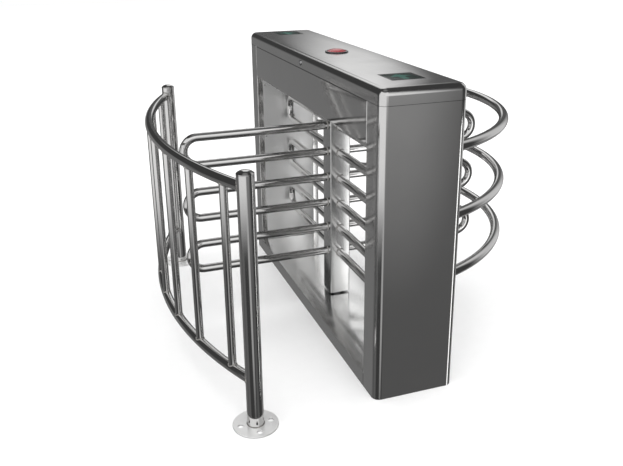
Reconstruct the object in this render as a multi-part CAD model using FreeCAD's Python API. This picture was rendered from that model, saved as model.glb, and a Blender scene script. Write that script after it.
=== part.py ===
import FreeCAD, Part
import math
import os

from FreeCAD import Placement, Rotation, Vector

# Visitor counter turnstile: a stainless portal cabinet with a four-wing rotor turning inside it,
# fixed hoops that close the back of the rotor's sweep, and a curved railing that makes the lane.
# Millimetres, +Z up. The origin is the rotor axis on the floor. Y runs along the cabinet,
# -Y is the entry end, -X is the lane side with the railing, +X is the closed side with the hoops.

# cabinet
CABINET_LENGTH = 1400.0
CABINET_WIDTH = 280.0
CABINET_HEIGHT = 1000.0
HEADER_HEIGHT = 180.0
LID_HEIGHT = 50.0
PILLAR_DEPTH = 95.0
BASE_HEIGHT = 50.0
SHEET = 2.0
CORNER_RADIUS = 26.0
LID_EDGE_RADIUS = 18.0
SEAM = 0.6
RETURN_FLANGE = 25.0
JOGGLE = 17.0
THRESHOLD_THICKNESS = 3.0
BOTTOM_PLATE = 4.0
ANCHOR_RADIUS = 7.0
ANCHOR_SPACING_X = 170.0
CABLE_HOLE_RADIUS = 20.0

# header beam and what stands on it
BEAM_SIDE_GAP = 45.0
BEAM_WEB = 4.0
BEAM_FLANGE = 30.0
SHELF = 4.0
BEAM_BOLT_RADIUS = 5.0
HOLE_CLEARANCE = 0.5

# rotor
COLUMN_SIZE = 80.0
COLUMN_WALL = 3.0
COLUMN_FLOOR_GAP = 6.0
COLUMN_TOP_GAP = 4.0
WING_END_GAP = 12.0
WING_TUBE_RADIUS = 15.0
WING_TUBE_WALL = 2.0
LOOP_COUNT = 3
LOOP_BOTTOM_GAP = 126.0
LOOP_TOP_DROP = 88.0

# rotor shaft, bearings and the discs on it
SHAFT_RADIUS = 17.5
BEARING_OUTER_RADIUS = 31.0
BEARING_WIDTH = 14.0
BEARING_RING = 4.0
BALL_COUNT = 11
PIVOT_RADIUS = 15.0
PIVOT_SHOULDER_RADIUS = 25.0
BUSH_WALL = 5.0
RUNNING_FIT = 0.05
SEAT_FIT = 0.02
FACE_GAP = 0.1
LOCK_DISC_RADIUS = 75.0
LOCK_DISC_THICKNESS = 8.0
NOTCH_DEPTH = 10.0
NOTCH_WIDTH = 20.0
SENSOR_DISC_RADIUS = 60.0
SENSOR_DISC_THICKNESS = 2.0

# gear drive
GEAR_MODULE = 2.5
GEAR_TEETH = 64
PINION_TEETH = 16
GEAR_WIDTH = 12.0
PRESSURE_ANGLE = 20.0
BACKLASH = 0.3
MOTOR_ANGLE = 135.0
MOTOR_RADIUS = 19.5
PINION_SHAFT_RADIUS = 4.0
GEAR_WINDOW_RADIUS = 14.0
GEAR_WINDOW_COUNT = 6

# locking pawls and their solenoids, for the entry side; the exit side is the same turned round
PAWL_PIVOT_X = -55.0
PAWL_PIVOT_Y = -105.0
PAWL_THICKNESS = 8.0
PAWL_BAR = 12.0
PAWL_TAIL = 40.0
PAWL_REST_GAP = 2.5
PAWL_PIN_RADIUS = 5.0
PAWL_PIN_SHOULDER = 9.0
PAWL_PIN_HEAD = 8.0
PAWL_HUB_RADIUS = 10.0
SPRING_SPACE = 12.0
SPRING_RADIUS = 7.8
SPRING_WALL = 2.2
SPRING_TURNS = 5
SPRING_GROOVE = 0.5
TAIL_PIN_RADIUS = 3.0
PLUNGER_RADIUS = 5.0
SOLENOID_LENGTH = 62.0
SOLENOID_SIZE = 30.0
SOLENOID_BORE_DEPTH = 32.0

# electronics on the beam
BOARD_WIDTH = 120.0
BOARD_START_Y = -420.0
BOARD_END_Y = -250.0
BOARD_THICKNESS = 1.6
BOARD_RAISE = 10.0
BOARD_HOLE_INSET = 5.0
RELAY_SIZE = (18.0, 26.0, 16.0)
RELAY_PITCH = 26.0
CAPACITOR_RADIUS = 8.0
CAPACITOR_HEIGHT = 20.0
CAPACITOR_PITCH = 28.0
SUPPLY_WIDTH = 100.0
SUPPLY_START_Y = 260.0
SUPPLY_LENGTH = 160.0
SUPPLY_HEIGHT = 38.0
SUPPLY_WALL = 1.0
TRANSFORMER_SIZE = 50.0
SENSOR_ARM = 5.0
SENSOR_SLOT = 2.0
SENSOR_FOOT_WIDTH = 40.0
SENSOR_ARM_WIDTH = 16.0

# lid fittings
INDICATOR_SIZE = 110.0
INDICATOR_FRONT_INSET = 162.0
INDICATOR_REAR_INSET = 110.0
INDICATOR_RIM = 6.0
INDICATOR_DEPTH = 24.0
LAMP_RADIUS = 42.0
LENS_RADIUS = 35.0
LENS_RISE = 8.0
LOCK_DROP = 30.0
LOCK_RADIUS = 9.0
PLUG_RADIUS = 5.0
CAM_REACH = 30.0
HINGE_INSET = 250.0
HINGE_LENGTH = 90.0
KNUCKLE_RADIUS = 6.0
KNUCKLE_GAP = 0.5
HINGE_PIN_RADIUS = 2.5
LEAF_HEIGHT = 30.0

# hoops on the closed side
HOOP_TUBE_RADIUS = 16.0
HOOP_TUBE_WALL = 1.5
HOOP_END_INSET = 50.0
HOOP_TIP_DROP = 8.0
HOOP_TOP_DROP = 22.0
HOOP_MIDDLE_SHIFT = -0.5
HOOP_BOTTOM_SHIFT = 5.5

# railing beside the lane
RAIL_WING_GAP = 86.5
RAIL_CENTRE_Y = -32.0
RAIL_RADIUS = 1540.0
POST_INSET = 48.0
POST_INWARD = 9.0
RAIL_TUBE_RADIUS = 16.0
RAIL_TUBE_WALL = 1.5
RAIL_TOP = 763.0
RAIL_BOTTOM = 161.0
POST_RADIUS = 25.5
POST_WALL = 2.0
POST_HEIGHT = 810.0
POST_CAP_HEIGHT = 12.0
POST_FLANGE_RADIUS = 70.0
POST_FLANGE_THICKNESS = 5.0
POST_BOLT_CIRCLE = 95.0
POST_BOLT_RADIUS = 9.0
POST_BOLT_COUNT = 4
BALUSTER_COUNT = 7
BALUSTER_END_GAP = 82.0
BALUSTER_RADIUS = 12.5
BALUSTER_WALL = 1.5

# worked out from the sizes above
HALF_L = CABINET_LENGTH / 2
HALF_W = CABINET_WIDTH / 2
HEADER_Z = CABINET_HEIGHT - HEADER_HEIGHT
SEAM_Z = CABINET_HEIGHT - LID_HEIGHT
PORTAL = HALF_L - PILLAR_DEPTH
BEAM_WIDTH = CABINET_WIDTH - 2 * BEAM_SIDE_GAP
THRESHOLD_Z = BASE_HEIGHT - THRESHOLD_THICKNESS
SHELF_Z = HEADER_Z + 2 * SHEET
BEAM_Z = SHELF_Z + SHELF
WEB_Z = BEAM_Z + BEAM_WEB
BEAM_END = HALF_L - SHEET - 8.0
COLUMN_BASE = BASE_HEIGHT + COLUMN_FLOOR_GAP
COLUMN_TOP = HEADER_Z - COLUMN_TOP_GAP
WING_REACH = PORTAL - WING_END_GAP
LOOP_TOP = HEADER_Z - LOOP_TOP_DROP
LOOP_STEP = (LOOP_TOP - LOOP_BOTTOM_GAP) / LOOP_COUNT
LOOP_PITCH = LOOP_STEP / 2
SHOULDER_RADIUS = SHAFT_RADIUS + BEARING_RING
BEARING_Z = WEB_Z + 6.0
LOCK_DISC_Z = BEARING_Z + BEARING_WIDTH + 14.0
GEAR_Z = LOCK_DISC_Z + LOCK_DISC_THICKNESS + 10.0
SENSOR_DISC_Z = GEAR_Z + GEAR_WIDTH + 10.0
SHAFT_TOP = SENSOR_DISC_Z + SENSOR_DISC_THICKNESS + 14.0
GEAR_RADIUS = GEAR_MODULE * GEAR_TEETH / 2
PINION_RADIUS = GEAR_MODULE * PINION_TEETH / 2
MOTOR_X = (GEAR_RADIUS + PINION_RADIUS) * math.cos(math.radians(MOTOR_ANGLE))
MOTOR_Y = (GEAR_RADIUS + PINION_RADIUS) * math.sin(math.radians(MOTOR_ANGLE))
HINGE_X = HALF_W + KNUCKLE_RADIUS + KNUCKLE_GAP
HINGE_Y = HALF_L - HINGE_INSET
INDICATOR_FRONT_Y = INDICATOR_FRONT_INSET - HALF_L
INDICATOR_REAR_Y = HALF_L - INDICATOR_REAR_INSET
LOCK_HEIGHT = CABINET_HEIGHT - LOCK_DROP
POST_HALF_SPAN = HALF_L - POST_INSET
RAIL_CENTRE_X = RAIL_RADIUS - WING_REACH - RAIL_WING_GAP
BALUSTER_PITCH = 2 * (POST_HALF_SPAN - BALUSTER_END_GAP) / (BALUSTER_COUNT - 1)

# a hoop is the arc through both its ends on the cabinet's right face and its outermost point; the lower
# two lie close to the middle of the gaps between the wings' loops
HOOP_END_Y = HALF_L - HOOP_END_INSET
HOOP_RISE = WING_REACH - HOOP_TIP_DROP - HALF_W
HOOP_RADIUS = (HOOP_END_Y ** 2 + HOOP_RISE ** 2) / (2 * HOOP_RISE)
HOOP_CENTRE_X = HALF_W + HOOP_RISE - HOOP_RADIUS
HOOP_HEIGHTS = {
    "hoop_top": HEADER_Z - HOOP_TOP_DROP,
    "hoop_middle": LOOP_TOP - 0.75 * LOOP_STEP + HOOP_MIDDLE_SHIFT,
    "hoop_bottom": LOOP_TOP - 1.75 * LOOP_STEP + HOOP_BOTTOM_SHIFT,
}


def box(x0, x1, y0, y1, z0, z1):
    return Part.makeBox(x1 - x0, y1 - y0, z1 - z0, Vector(x0, y0, z0))


def cyl(x, y, z0, z1, radius):
    return Part.makeCylinder(radius, z1 - z0, Vector(x, y, z0))


def cyl_x(x0, x1, y, z, radius):
    return Part.makeCylinder(radius, x1 - x0, Vector(x0, y, z), Vector(1, 0, 0))


def cyl_y(x, y0, y1, z, radius):
    return Part.makeCylinder(radius, y1 - y0, Vector(x, y0, z), Vector(0, 1, 0))


def ring(x, y, z0, z1, outer, inner):
    return cyl(x, y, z0, z1, outer).cut(cyl(x, y, z0 - 1, z1 + 1, inner))


def about_z(shape, degrees):
    turned = shape.copy()
    turned.Placement = Placement(Vector(), Rotation(Vector(0, 0, 1), degrees)).multiply(turned.Placement)
    return turned


def mirror_y(shape):
    return shape.mirror(Vector(), Vector(0, 1, 0))


def mirror_x(shape):
    return shape.mirror(Vector(), Vector(1, 0, 0))


def save(name, *shapes):
    """Write one node: a single solid, or a group of separate solids."""
    solids = []
    for shape in shapes:
        solids += shape.removeSplitter().Solids
    for solid in solids:
        if not solid.isValid() or solid.Volume <= 0:
            raise ValueError(name + " is not a sound solid")
    whole = solids[0] if len(solids) == 1 else Part.makeCompound(solids)
    whole.exportStep("parts/" + name + ".step")
    print(name, len(solids), round(sum(s.Volume for s in solids) / 1000, 1), "cm3")


# ---------------------------------------------------------------- cabinet

def rounded_block(half_x, half_y, z0, z1, radius):
    """A block with its four upright edges rounded."""
    block = box(-half_x, half_x, -half_y, half_y, z0, z1)
    upright = [e for e in block.Edges if abs(e.tangentAt(e.FirstParameter).z) > 0.99]
    return block.makeFillet(radius, upright)


def lid_block(half_x, half_y, z0, z1, corner, edge):
    """A rounded block whose top edge is rounded all round."""
    block = rounded_block(half_x, half_y, z0, z1, corner)
    top = [e for e in block.Edges if min(v.Z for v in e.Vertexes) > z1 - 0.01]
    return block.makeFillet(edge, top)


def base_tray():
    edge = PORTAL - SEAM
    outer = box(-HALF_W, HALF_W, -edge, edge, 0, THRESHOLD_Z)
    inner = box(-HALF_W + SHEET, HALF_W - SHEET, -edge - 1, edge + 1, BOTTOM_PLATE, THRESHOLD_Z - SHEET)
    mouth_x = HALF_W - RETURN_FLANGE
    mouth = box(-mouth_x, mouth_x, -edge - 1, edge + 1, THRESHOLD_Z - SHEET - 1, THRESHOLD_Z + 1)
    tray = outer.cut(inner).cut(mouth)
    foot_x = HALF_W - CORNER_RADIUS
    end = HALF_L - SHEET - 1.0
    tray = tray.fuse(box(-foot_x, foot_x, -end, end, 0, BOTTOM_PLATE))
    for x in (-ANCHOR_SPACING_X / 2, ANCHOR_SPACING_X / 2):
        for y in (-anchor_y(), anchor_y()):
            tray = tray.cut(cyl(x, y, -1, BOTTOM_PLATE + 1, ANCHOR_RADIUS))
    return tray.cut(cyl(0, anchor_y(), -1, BOTTOM_PLATE + 1, CABLE_HOLE_RADIUS))


def anchor_y():
    return HALF_L - PILLAR_DEPTH / 2


def threshold_plate():
    edge = PORTAL - SEAM
    plate = box(-HALF_W, HALF_W, -edge, edge, THRESHOLD_Z, BASE_HEIGHT)
    return plate.cut(cyl(0, 0, THRESHOLD_Z - 1, BASE_HEIGHT + 1, PIVOT_SHOULDER_RADIUS + 1.5))


def pillar_shell():
    """The entry pillar: a rounded sheet channel, open towards the lane between two return flanges."""
    outer = rounded_block(HALF_W, HALF_L, 0, SEAM_Z, CORNER_RADIUS)
    inner = rounded_block(HALF_W - SHEET, HALF_L - SHEET, -1, SEAM_Z + 1, CORNER_RADIUS - SHEET)
    keep = box(-HALF_W, HALF_W, -HALF_L, -PORTAL, 0, SEAM_Z)
    shell = outer.cut(inner).common(keep)
    lip_x = HALF_W - RETURN_FLANGE
    step_x = lip_x - JOGGLE + SHEET
    for side in (-1, 1):
        lip = sorted((side * lip_x, side * (HALF_W - SHEET / 2)))
        step = sorted((side * step_x, side * (lip_x + SHEET)))
        shell = shell.fuse(box(lip[0], lip[1], -PORTAL - SHEET, -PORTAL, 0, SEAM_Z))
        step_back = box(step[0], step[1], -PORTAL - 2 * SHEET, -PORTAL - SHEET, BASE_HEIGHT, HEADER_Z)
        shell = shell.fuse(step_back)
    # the shelf that carries the end of the header beam
    shelf_x = HALF_W - SHEET / 2
    shelf = box(-shelf_x, shelf_x, -HALF_L + SHEET / 2, -PORTAL - SHEET / 2, SHELF_Z, BEAM_Z)
    shelf = shelf.common(rounded_block(HALF_W - SHEET / 2, HALF_L - SHEET / 2, SHELF_Z, BEAM_Z,
                                       CORNER_RADIUS - SHEET / 2))
    shelf = shelf.cut(cyl(0, -anchor_y(), SHELF_Z - 1, BEAM_Z + 1, CABLE_HOLE_RADIUS))
    shell = shell.fuse(shelf)
    # the sill is cut away between the flanges so that the bottom plate runs in
    foot_x = HALF_W - CORNER_RADIUS + HOLE_CLEARANCE
    shell = shell.cut(box(-foot_x, foot_x, -PORTAL - SHEET - 1, -PORTAL + 1, -1, BOTTOM_PLATE + 1))
    for x, y in beam_bolt_places():
        if y < 0:
            shell = shell.cut(cyl(x, y, SHELF_Z - 1, BEAM_Z + 1, BEAM_BOLT_RADIUS + HOLE_CLEARANCE))
    return shell


def beam_bolt_places():
    x = BEAM_WIDTH / 2 - 30.0
    return [(sx * x, sy * anchor_y()) for sx in (-1, 1) for sy in (-1, 1)]


def pillar_cover():
    """The flat panel between the return flanges of the entry pillar."""
    x = HALF_W - RETURN_FLANGE - SEAM
    panel = box(-x, x, -PORTAL - SHEET, -PORTAL, BASE_HEIGHT + SEAM, HEADER_Z - SEAM)
    for px, pz in cover_screw_places():
        panel = panel.cut(cyl_y(px, -PORTAL - SHEET - 1, -PORTAL + 1, pz, 2.0 + HOLE_CLEARANCE))
    return panel


def cover_screw_places():
    x = HALF_W - RETURN_FLANGE - JOGGLE / 2
    span = HEADER_Z - BASE_HEIGHT
    return [(side * x, BASE_HEIGHT + span * share) for side in (-1, 1) for share in (0.05, 0.35, 0.65, 0.95)]


def cover_screws():
    """Low round-head screws, seated on the covers and ending in the joggled flanges behind them."""
    screws = []
    for px, pz in cover_screw_places():
        head = cyl_y(px, -PORTAL, -PORTAL + 1.6, pz, 4.0)
        shank = cyl_y(px, -PORTAL - SHEET, -PORTAL + 0.5, pz, 2.0)
        screw = head.fuse(shank)
        screws += [screw, mirror_y(screw)]
    return screws


def header_panel():
    """The left side panel of the header: a sheet folded in at its bottom, its top and both ends."""
    edge = PORTAL - SEAM
    panel = box(-HALF_W, -HALF_W + SHEET, -edge, edge, HEADER_Z, SEAM_Z)
    lip_x = HALF_W - RETURN_FLANGE
    panel = panel.fuse(box(-HALF_W, -lip_x, -edge, edge, HEADER_Z, HEADER_Z + SHEET))
    step = box(-lip_x - SHEET, -lip_x + JOGGLE - SHEET, -edge, edge, HEADER_Z + SHEET, HEADER_Z + 2 * SHEET)
    panel = panel.fuse(step)
    panel = panel.fuse(box(-HALF_W, -HALF_W + 20.0, -edge, edge, SEAM_Z - SHEET, SEAM_Z))
    for end in (-1, 1):
        fold = sorted((end * edge, end * (edge - SHEET)))
        panel = panel.fuse(box(-HALF_W, -HALF_W + 22.0, fold[0], fold[1], HEADER_Z, SEAM_Z))
    return panel


def left_header_panel():
    """As the plain panel, with a gap in its top fold that lets the hook of the lid lock pass."""
    gap = box(-HALF_W + SHEET + 1.0, -HALF_W + 21.0, 8.5, 25.5, SEAM_Z - SHEET - 1, SEAM_Z + 1)
    return header_panel().cut(gap)


def header_soffit():
    x = HALF_W - RETURN_FLANGE - SEAM
    edge = PORTAL - SEAM
    plate = box(-x, x, -edge, edge, HEADER_Z, HEADER_Z + SHEET)
    return plate.cut(cyl(0, 0, HEADER_Z - 1, HEADER_Z + SHEET + 1, SHOULDER_RADIUS + 8.0))


def header_beam():
    half = BEAM_WIDTH / 2
    web = box(-half, half, -BEAM_END, BEAM_END, BEAM_Z, WEB_Z)
    for side in (-1, 1):
        wall = sorted((side * half, side * (half - BEAM_WEB)))
        web = web.fuse(box(wall[0], wall[1], -BEAM_END, BEAM_END, BEAM_Z, WEB_Z + BEAM_FLANGE))
    web = web.cut(cyl(0, 0, BEAM_Z - 1, WEB_Z + 1, SHOULDER_RADIUS + 3.0))
    for x, y in beam_bolt_places():
        web = web.cut(cyl(x, y, BEAM_Z - 1, WEB_Z + 1, BEAM_BOLT_RADIUS + HOLE_CLEARANCE))
    for y in (-anchor_y(), anchor_y()):
        web = web.cut(cyl(0, y, BEAM_Z - 1, WEB_Z + 1, CABLE_HOLE_RADIUS))
    return web


def beam_bolts():
    bolts = []
    for x, y in beam_bolt_places():
        shank = cyl(x, y, SHELF_Z - 8.0, WEB_Z + 1, BEAM_BOLT_RADIUS)
        head = hexagon(x, y, WEB_Z, WEB_Z + 6.5, 2 * BEAM_BOLT_RADIUS)
        nut = hexagon(x, y, SHELF_Z - 8.0, SHELF_Z, 2 * BEAM_BOLT_RADIUS)
        bolts.append(shank.fuse(head).fuse(nut))
    return bolts


def hexagon(x, y, z0, z1, radius):
    points = []
    for i in range(7):
        angle = math.radians(60 * i)
        points.append(Vector(x + radius * math.cos(angle), y + radius * math.sin(angle), z0))
    return Part.Face(Part.makePolygon(points)).extrude(Vector(0, 0, z1 - z0))


# ---------------------------------------------------------------- bearings and drive

def top_bearing_housing():
    bore = BEARING_OUTER_RADIUS + SEAT_FIT
    body = cyl(0, 0, WEB_Z, BEARING_Z + BEARING_WIDTH, bore + 9.0)
    flange = cyl(0, 0, WEB_Z, BEARING_Z, bore + 27.0)
    body = body.fuse(flange).cut(cyl(0, 0, BEARING_Z, BEARING_Z + BEARING_WIDTH + 1, bore))
    body = body.cut(cyl(0, 0, WEB_Z - 1, BEARING_Z + 1, SHOULDER_RADIUS + 3.0))
    return body


def ball_circle():
    return (BEARING_OUTER_RADIUS + SHAFT_RADIUS) / 2


def ball_radius():
    return (BEARING_OUTER_RADIUS - SHAFT_RADIUS) / 2 - BEARING_RING + 1.8


def ball_groove():
    middle = BEARING_Z + BEARING_WIDTH / 2
    return Part.makeTorus(ball_circle(), ball_radius() + 0.3, Vector(0, 0, middle))


def bearing_outer_ring():
    top = BEARING_Z + BEARING_WIDTH
    inner = BEARING_OUTER_RADIUS - BEARING_RING
    return ring(0, 0, BEARING_Z, top, BEARING_OUTER_RADIUS, inner).cut(ball_groove())


def bearing_inner_ring():
    top = BEARING_Z + BEARING_WIDTH
    inner = SHAFT_RADIUS + SEAT_FIT
    return ring(0, 0, BEARING_Z, top, SHAFT_RADIUS + BEARING_RING, inner).cut(ball_groove())


def bearing_balls():
    balls = []
    for i in range(BALL_COUNT):
        angle = 2 * math.pi * i / BALL_COUNT
        centre = Vector(ball_circle() * math.cos(angle), ball_circle() * math.sin(angle),
                        BEARING_Z + BEARING_WIDTH / 2)
        balls.append(Part.makeSphere(ball_radius(), centre))
    return balls


def foot_housing():
    bore = PIVOT_RADIUS + RUNNING_FIT + BUSH_WALL + SEAT_FIT
    top = THRESHOLD_Z - 6.0
    body = cyl(0, 0, BOTTOM_PLATE, top, bore + 10.0)
    body = body.fuse(cyl(0, 0, BOTTOM_PLATE, BOTTOM_PLATE + 8.0, bore + 35.0))
    return body.cut(cyl(0, 0, BOTTOM_PLATE - 1, top + 1, bore))


def foot_bush():
    inner = PIVOT_RADIUS + RUNNING_FIT
    top = THRESHOLD_Z - 6.0
    sleeve = cyl(0, 0, BOTTOM_PLATE + 2.0, top, inner + BUSH_WALL)
    collar = cyl(0, 0, top, top + 3.0, PIVOT_SHOULDER_RADIUS)
    return sleeve.fuse(collar).cut(cyl(0, 0, 0, top + 4.0, inner))


def rotor_column():
    half = COLUMN_SIZE / 2
    hollow = half - COLUMN_WALL
    tube = box(-half, half, -half, half, COLUMN_BASE, COLUMN_TOP)
    upright = [e for e in tube.Edges if abs(e.tangentAt(e.FirstParameter).z) > 0.99]
    tube = tube.makeFillet(COLUMN_WALL, upright)
    return tube.cut(box(-hollow, hollow, -hollow, hollow, COLUMN_BASE - 1, COLUMN_TOP + 1))


def rotor_shaft():
    plug = COLUMN_SIZE / 2 - COLUMN_WALL - SEAT_FIT
    shaft = box(-plug, plug, -plug, plug, COLUMN_TOP - 40.0, COLUMN_TOP)
    shaft = shaft.fuse(cyl(0, 0, COLUMN_TOP - 1, BEARING_Z, SHOULDER_RADIUS))
    return shaft.fuse(cyl(0, 0, BEARING_Z - 1, SHAFT_TOP, SHAFT_RADIUS))


def rotor_pivot():
    plug = COLUMN_SIZE / 2 - COLUMN_WALL - SEAT_FIT
    collar_top = THRESHOLD_Z - 3.0
    pivot = box(-plug, plug, -plug, plug, COLUMN_BASE, COLUMN_BASE + 40.0)
    pivot = pivot.fuse(cyl(0, 0, collar_top + FACE_GAP, COLUMN_BASE + 1, PIVOT_SHOULDER_RADIUS))
    return pivot.fuse(cyl(0, 0, BOTTOM_PLATE + 6.0, COLUMN_BASE + 1, PIVOT_RADIUS))


def hub_bore(z0, z1):
    return cyl(0, 0, z0 - 1, z1 + 1, SHAFT_RADIUS + SEAT_FIT)


def lock_disc():
    """A disc with one notch for each wing, on a hub that stands on the bearing's inner ring."""
    top = LOCK_DISC_Z + LOCK_DISC_THICKNESS
    disc = cyl(0, 0, LOCK_DISC_Z, top, LOCK_DISC_RADIUS)
    disc = disc.fuse(cyl(0, 0, BEARING_Z + BEARING_WIDTH, top, SHAFT_RADIUS + BEARING_RING))
    reach = LOCK_DISC_RADIUS - NOTCH_DEPTH
    notch = box(reach, LOCK_DISC_RADIUS + 1, -NOTCH_WIDTH / 2, NOTCH_WIDTH / 2, LOCK_DISC_Z - 1, top + 1)
    for i in range(4):
        disc = disc.cut(about_z(notch, 90 * i))
    return disc.cut(hub_bore(BEARING_Z, top))


def sensor_disc():
    top = SENSOR_DISC_Z + SENSOR_DISC_THICKNESS
    disc = cyl(0, 0, SENSOR_DISC_Z, top, SENSOR_DISC_RADIUS)
    disc = disc.fuse(cyl(0, 0, GEAR_Z + GEAR_WIDTH, top, SHAFT_RADIUS + 7.0))
    slot = box(SENSOR_DISC_RADIUS - 12.0, SENSOR_DISC_RADIUS + 1, -3.0, 3.0, SENSOR_DISC_Z - 1, top + 1)
    for i in range(4):
        disc = disc.cut(about_z(slot, 45 + 90 * i))
    return disc.cut(hub_bore(GEAR_Z, top))


def shaft_collar():
    bottom = SENSOR_DISC_Z + SENSOR_DISC_THICKNESS
    return ring(0, 0, bottom, bottom + 10.0, SHAFT_RADIUS + 9.0, SHAFT_RADIUS + SEAT_FIT)


def involute(angle):
    return math.tan(angle) - angle


def gear_blank(teeth, z0, z1):
    """A spur gear of involute teeth about the Z axis, with one tooth centred on +X."""
    pitch = GEAR_MODULE * teeth / 2
    pressure = math.radians(PRESSURE_ANGLE)
    base = pitch * math.cos(pressure)
    tip = pitch + 0.95 * GEAR_MODULE
    root = pitch - 1.25 * GEAR_MODULE
    half = math.pi / (2 * teeth) - BACKLASH / (2 * pitch) + involute(pressure)
    low = max(base, root) + 0.001
    radii = [low + (tip - low) * i / 3 for i in range(4)]
    flank = [(r, half - involute(math.acos(base / r))) for r in radii]
    outline = [(root, -flank[0][1])]
    outline += [(r, -a) for r, a in flank]
    outline += [(r, a) for r, a in reversed(flank)]
    outline += [(root, flank[0][1])]
    points = []
    for i in range(teeth):
        centre = 2 * math.pi * i / teeth
        for r, a in outline:
            points.append(Vector(r * math.cos(centre + a), r * math.sin(centre + a), z0))
    points.append(points[0])
    return Part.Face(Part.makePolygon(points)).extrude(Vector(0, 0, z1 - z0))


def main_gear():
    top = GEAR_Z + GEAR_WIDTH
    gear = gear_blank(GEAR_TEETH, GEAR_Z, top)
    gear = gear.fuse(cyl(0, 0, LOCK_DISC_Z + LOCK_DISC_THICKNESS, top, SHAFT_RADIUS + 9.0))
    window_x = (GEAR_RADIUS + SHAFT_RADIUS) / 2 + 3.0
    for i in range(GEAR_WINDOW_COUNT):
        window = cyl(window_x, 0, GEAR_Z - 1, top + 1, GEAR_WINDOW_RADIUS)
        gear = gear.cut(about_z(window, 360 / GEAR_WINDOW_COUNT * i))
    return gear.cut(hub_bore(LOCK_DISC_Z, top))


def motor_pinion():
    """The pinion with its shaft, turned so that a tooth space faces a tooth of the main gear."""
    tooth_to_space = 180.0 / PINION_TEETH
    pinion = about_z(gear_blank(PINION_TEETH, GEAR_Z - 1, GEAR_Z + GEAR_WIDTH + 1),
                     MOTOR_ANGLE + 180.0 + tooth_to_space)
    pinion.translate(Vector(MOTOR_X, MOTOR_Y, 0))
    shaft = cyl(MOTOR_X, MOTOR_Y, GEAR_Z - 18.0, GEAR_Z + GEAR_WIDTH + 4.0, PINION_SHAFT_RADIUS)
    return pinion.fuse(shaft)


def gearmotor():
    top = GEAR_Z - 4.0
    body = cyl(MOTOR_X, MOTOR_Y, WEB_Z, top - 3.0, MOTOR_RADIUS)
    body = body.fuse(cyl(MOTOR_X, MOTOR_Y, top - 4.0, top, MOTOR_RADIUS - 10.0))
    return body.cut(cyl(MOTOR_X, MOTOR_Y, GEAR_Z - 20.0, top + 1, PINION_SHAFT_RADIUS + RUNNING_FIT))


# ---------------------------------------------------------------- locking pawls

def bar(x0, y0, x1, y1, width, z0, z1):
    """A flat bar with round ends from one point to another."""
    length = math.hypot(x1 - x0, y1 - y0)
    angle = math.degrees(math.atan2(y1 - y0, x1 - x0))
    body = box(0, length, -width / 2, width / 2, z0, z1)
    body = about_z(body, angle)
    body.translate(Vector(x0, y0, 0))
    return body.fuse(cyl(x0, y0, z0, z1, width / 2)).fuse(cyl(x1, y1, z0, z1, width / 2))


def pawl():
    z0 = LOCK_DISC_Z
    z1 = z0 + PAWL_THICKNESS
    rest_y = -LOCK_DISC_RADIUS - PAWL_REST_GAP
    body = bar(PAWL_PIVOT_X, PAWL_PIVOT_Y, 0, rest_y - PAWL_BAR / 2 - 3.0, PAWL_BAR, z0, z1)
    tail_y = PAWL_PIVOT_Y - PAWL_TAIL
    body = body.fuse(bar(PAWL_PIVOT_X, PAWL_PIVOT_Y, PAWL_PIVOT_X, tail_y, PAWL_BAR, z0, z1))
    body = body.fuse(cyl(PAWL_PIVOT_X, PAWL_PIVOT_Y, z0, z1, PAWL_HUB_RADIUS))
    tooth = NOTCH_WIDTH / 4
    body = body.fuse(box(-tooth, tooth, rest_y - 10.0, rest_y, z0, z1))
    body = body.fuse(cyl(PAWL_PIVOT_X, tail_y, z0 - 12.0, z1, TAIL_PIN_RADIUS))
    return body.cut(cyl(PAWL_PIVOT_X, PAWL_PIVOT_Y, z0 - 1, z1 + 1, PAWL_PIN_RADIUS + RUNNING_FIT))


def pawl_pin():
    """A shouldered pin: the pawl turns on it, resting on the shoulder and held by the head."""
    z0 = LOCK_DISC_Z
    z1 = z0 + PAWL_THICKNESS
    head_z = z1 + SPRING_SPACE
    pin = cyl(PAWL_PIVOT_X, PAWL_PIVOT_Y, WEB_Z, z0 - FACE_GAP, PAWL_PIN_SHOULDER)
    pin = pin.fuse(cyl(PAWL_PIVOT_X, PAWL_PIVOT_Y, WEB_Z, head_z + 2.0, PAWL_PIN_RADIUS))
    return pin.fuse(cyl(PAWL_PIVOT_X, PAWL_PIVOT_Y, head_z, head_z + 3.0, PAWL_PIN_HEAD))


def pawl_spring():
    """The close-wound return spring round the pin, drawn as a sleeve with a groove between its turns."""
    bottom = LOCK_DISC_Z + PAWL_THICKNESS + FACE_GAP
    top = LOCK_DISC_Z + PAWL_THICKNESS + SPRING_SPACE - FACE_GAP
    turn = (top - bottom) / SPRING_TURNS
    x = PAWL_PIVOT_X
    y = PAWL_PIVOT_Y
    spring = ring(x, y, bottom, top, SPRING_RADIUS, SPRING_RADIUS - SPRING_WALL)
    for i in range(1, SPRING_TURNS):
        z = bottom + turn * i
        groove = ring(x, y, z - SPRING_GROOVE / 2, z + SPRING_GROOVE / 2,
                      SPRING_RADIUS + 1, SPRING_RADIUS - SPRING_GROOVE)
        spring = spring.cut(groove)
    return spring


def plunger_y():
    return PAWL_PIVOT_Y - PAWL_TAIL


def plunger_z():
    return LOCK_DISC_Z - 9.0 - PLUNGER_RADIUS + 3.0


def plunger():
    """The solenoid's plunger, with a slotted clevis plate that the pawl's tail pin stands in."""
    slack = TAIL_PIN_RADIUS + 0.3
    z = plunger_z()
    x = PAWL_PIVOT_X
    rod = cyl_x(x + 10.0, x + 46.0, plunger_y(), z, PLUNGER_RADIUS)
    plate = box(x - 8.0, x + 14.0, plunger_y() - 9.0, plunger_y() + 9.0, z - 2.0, z + 4.0)
    slot = box(x - slack, x + slack, plunger_y() - 5.0, plunger_y() + 5.0, z - 3.0, z + 6.0)
    return rod.fuse(plate).cut(slot)


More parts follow.
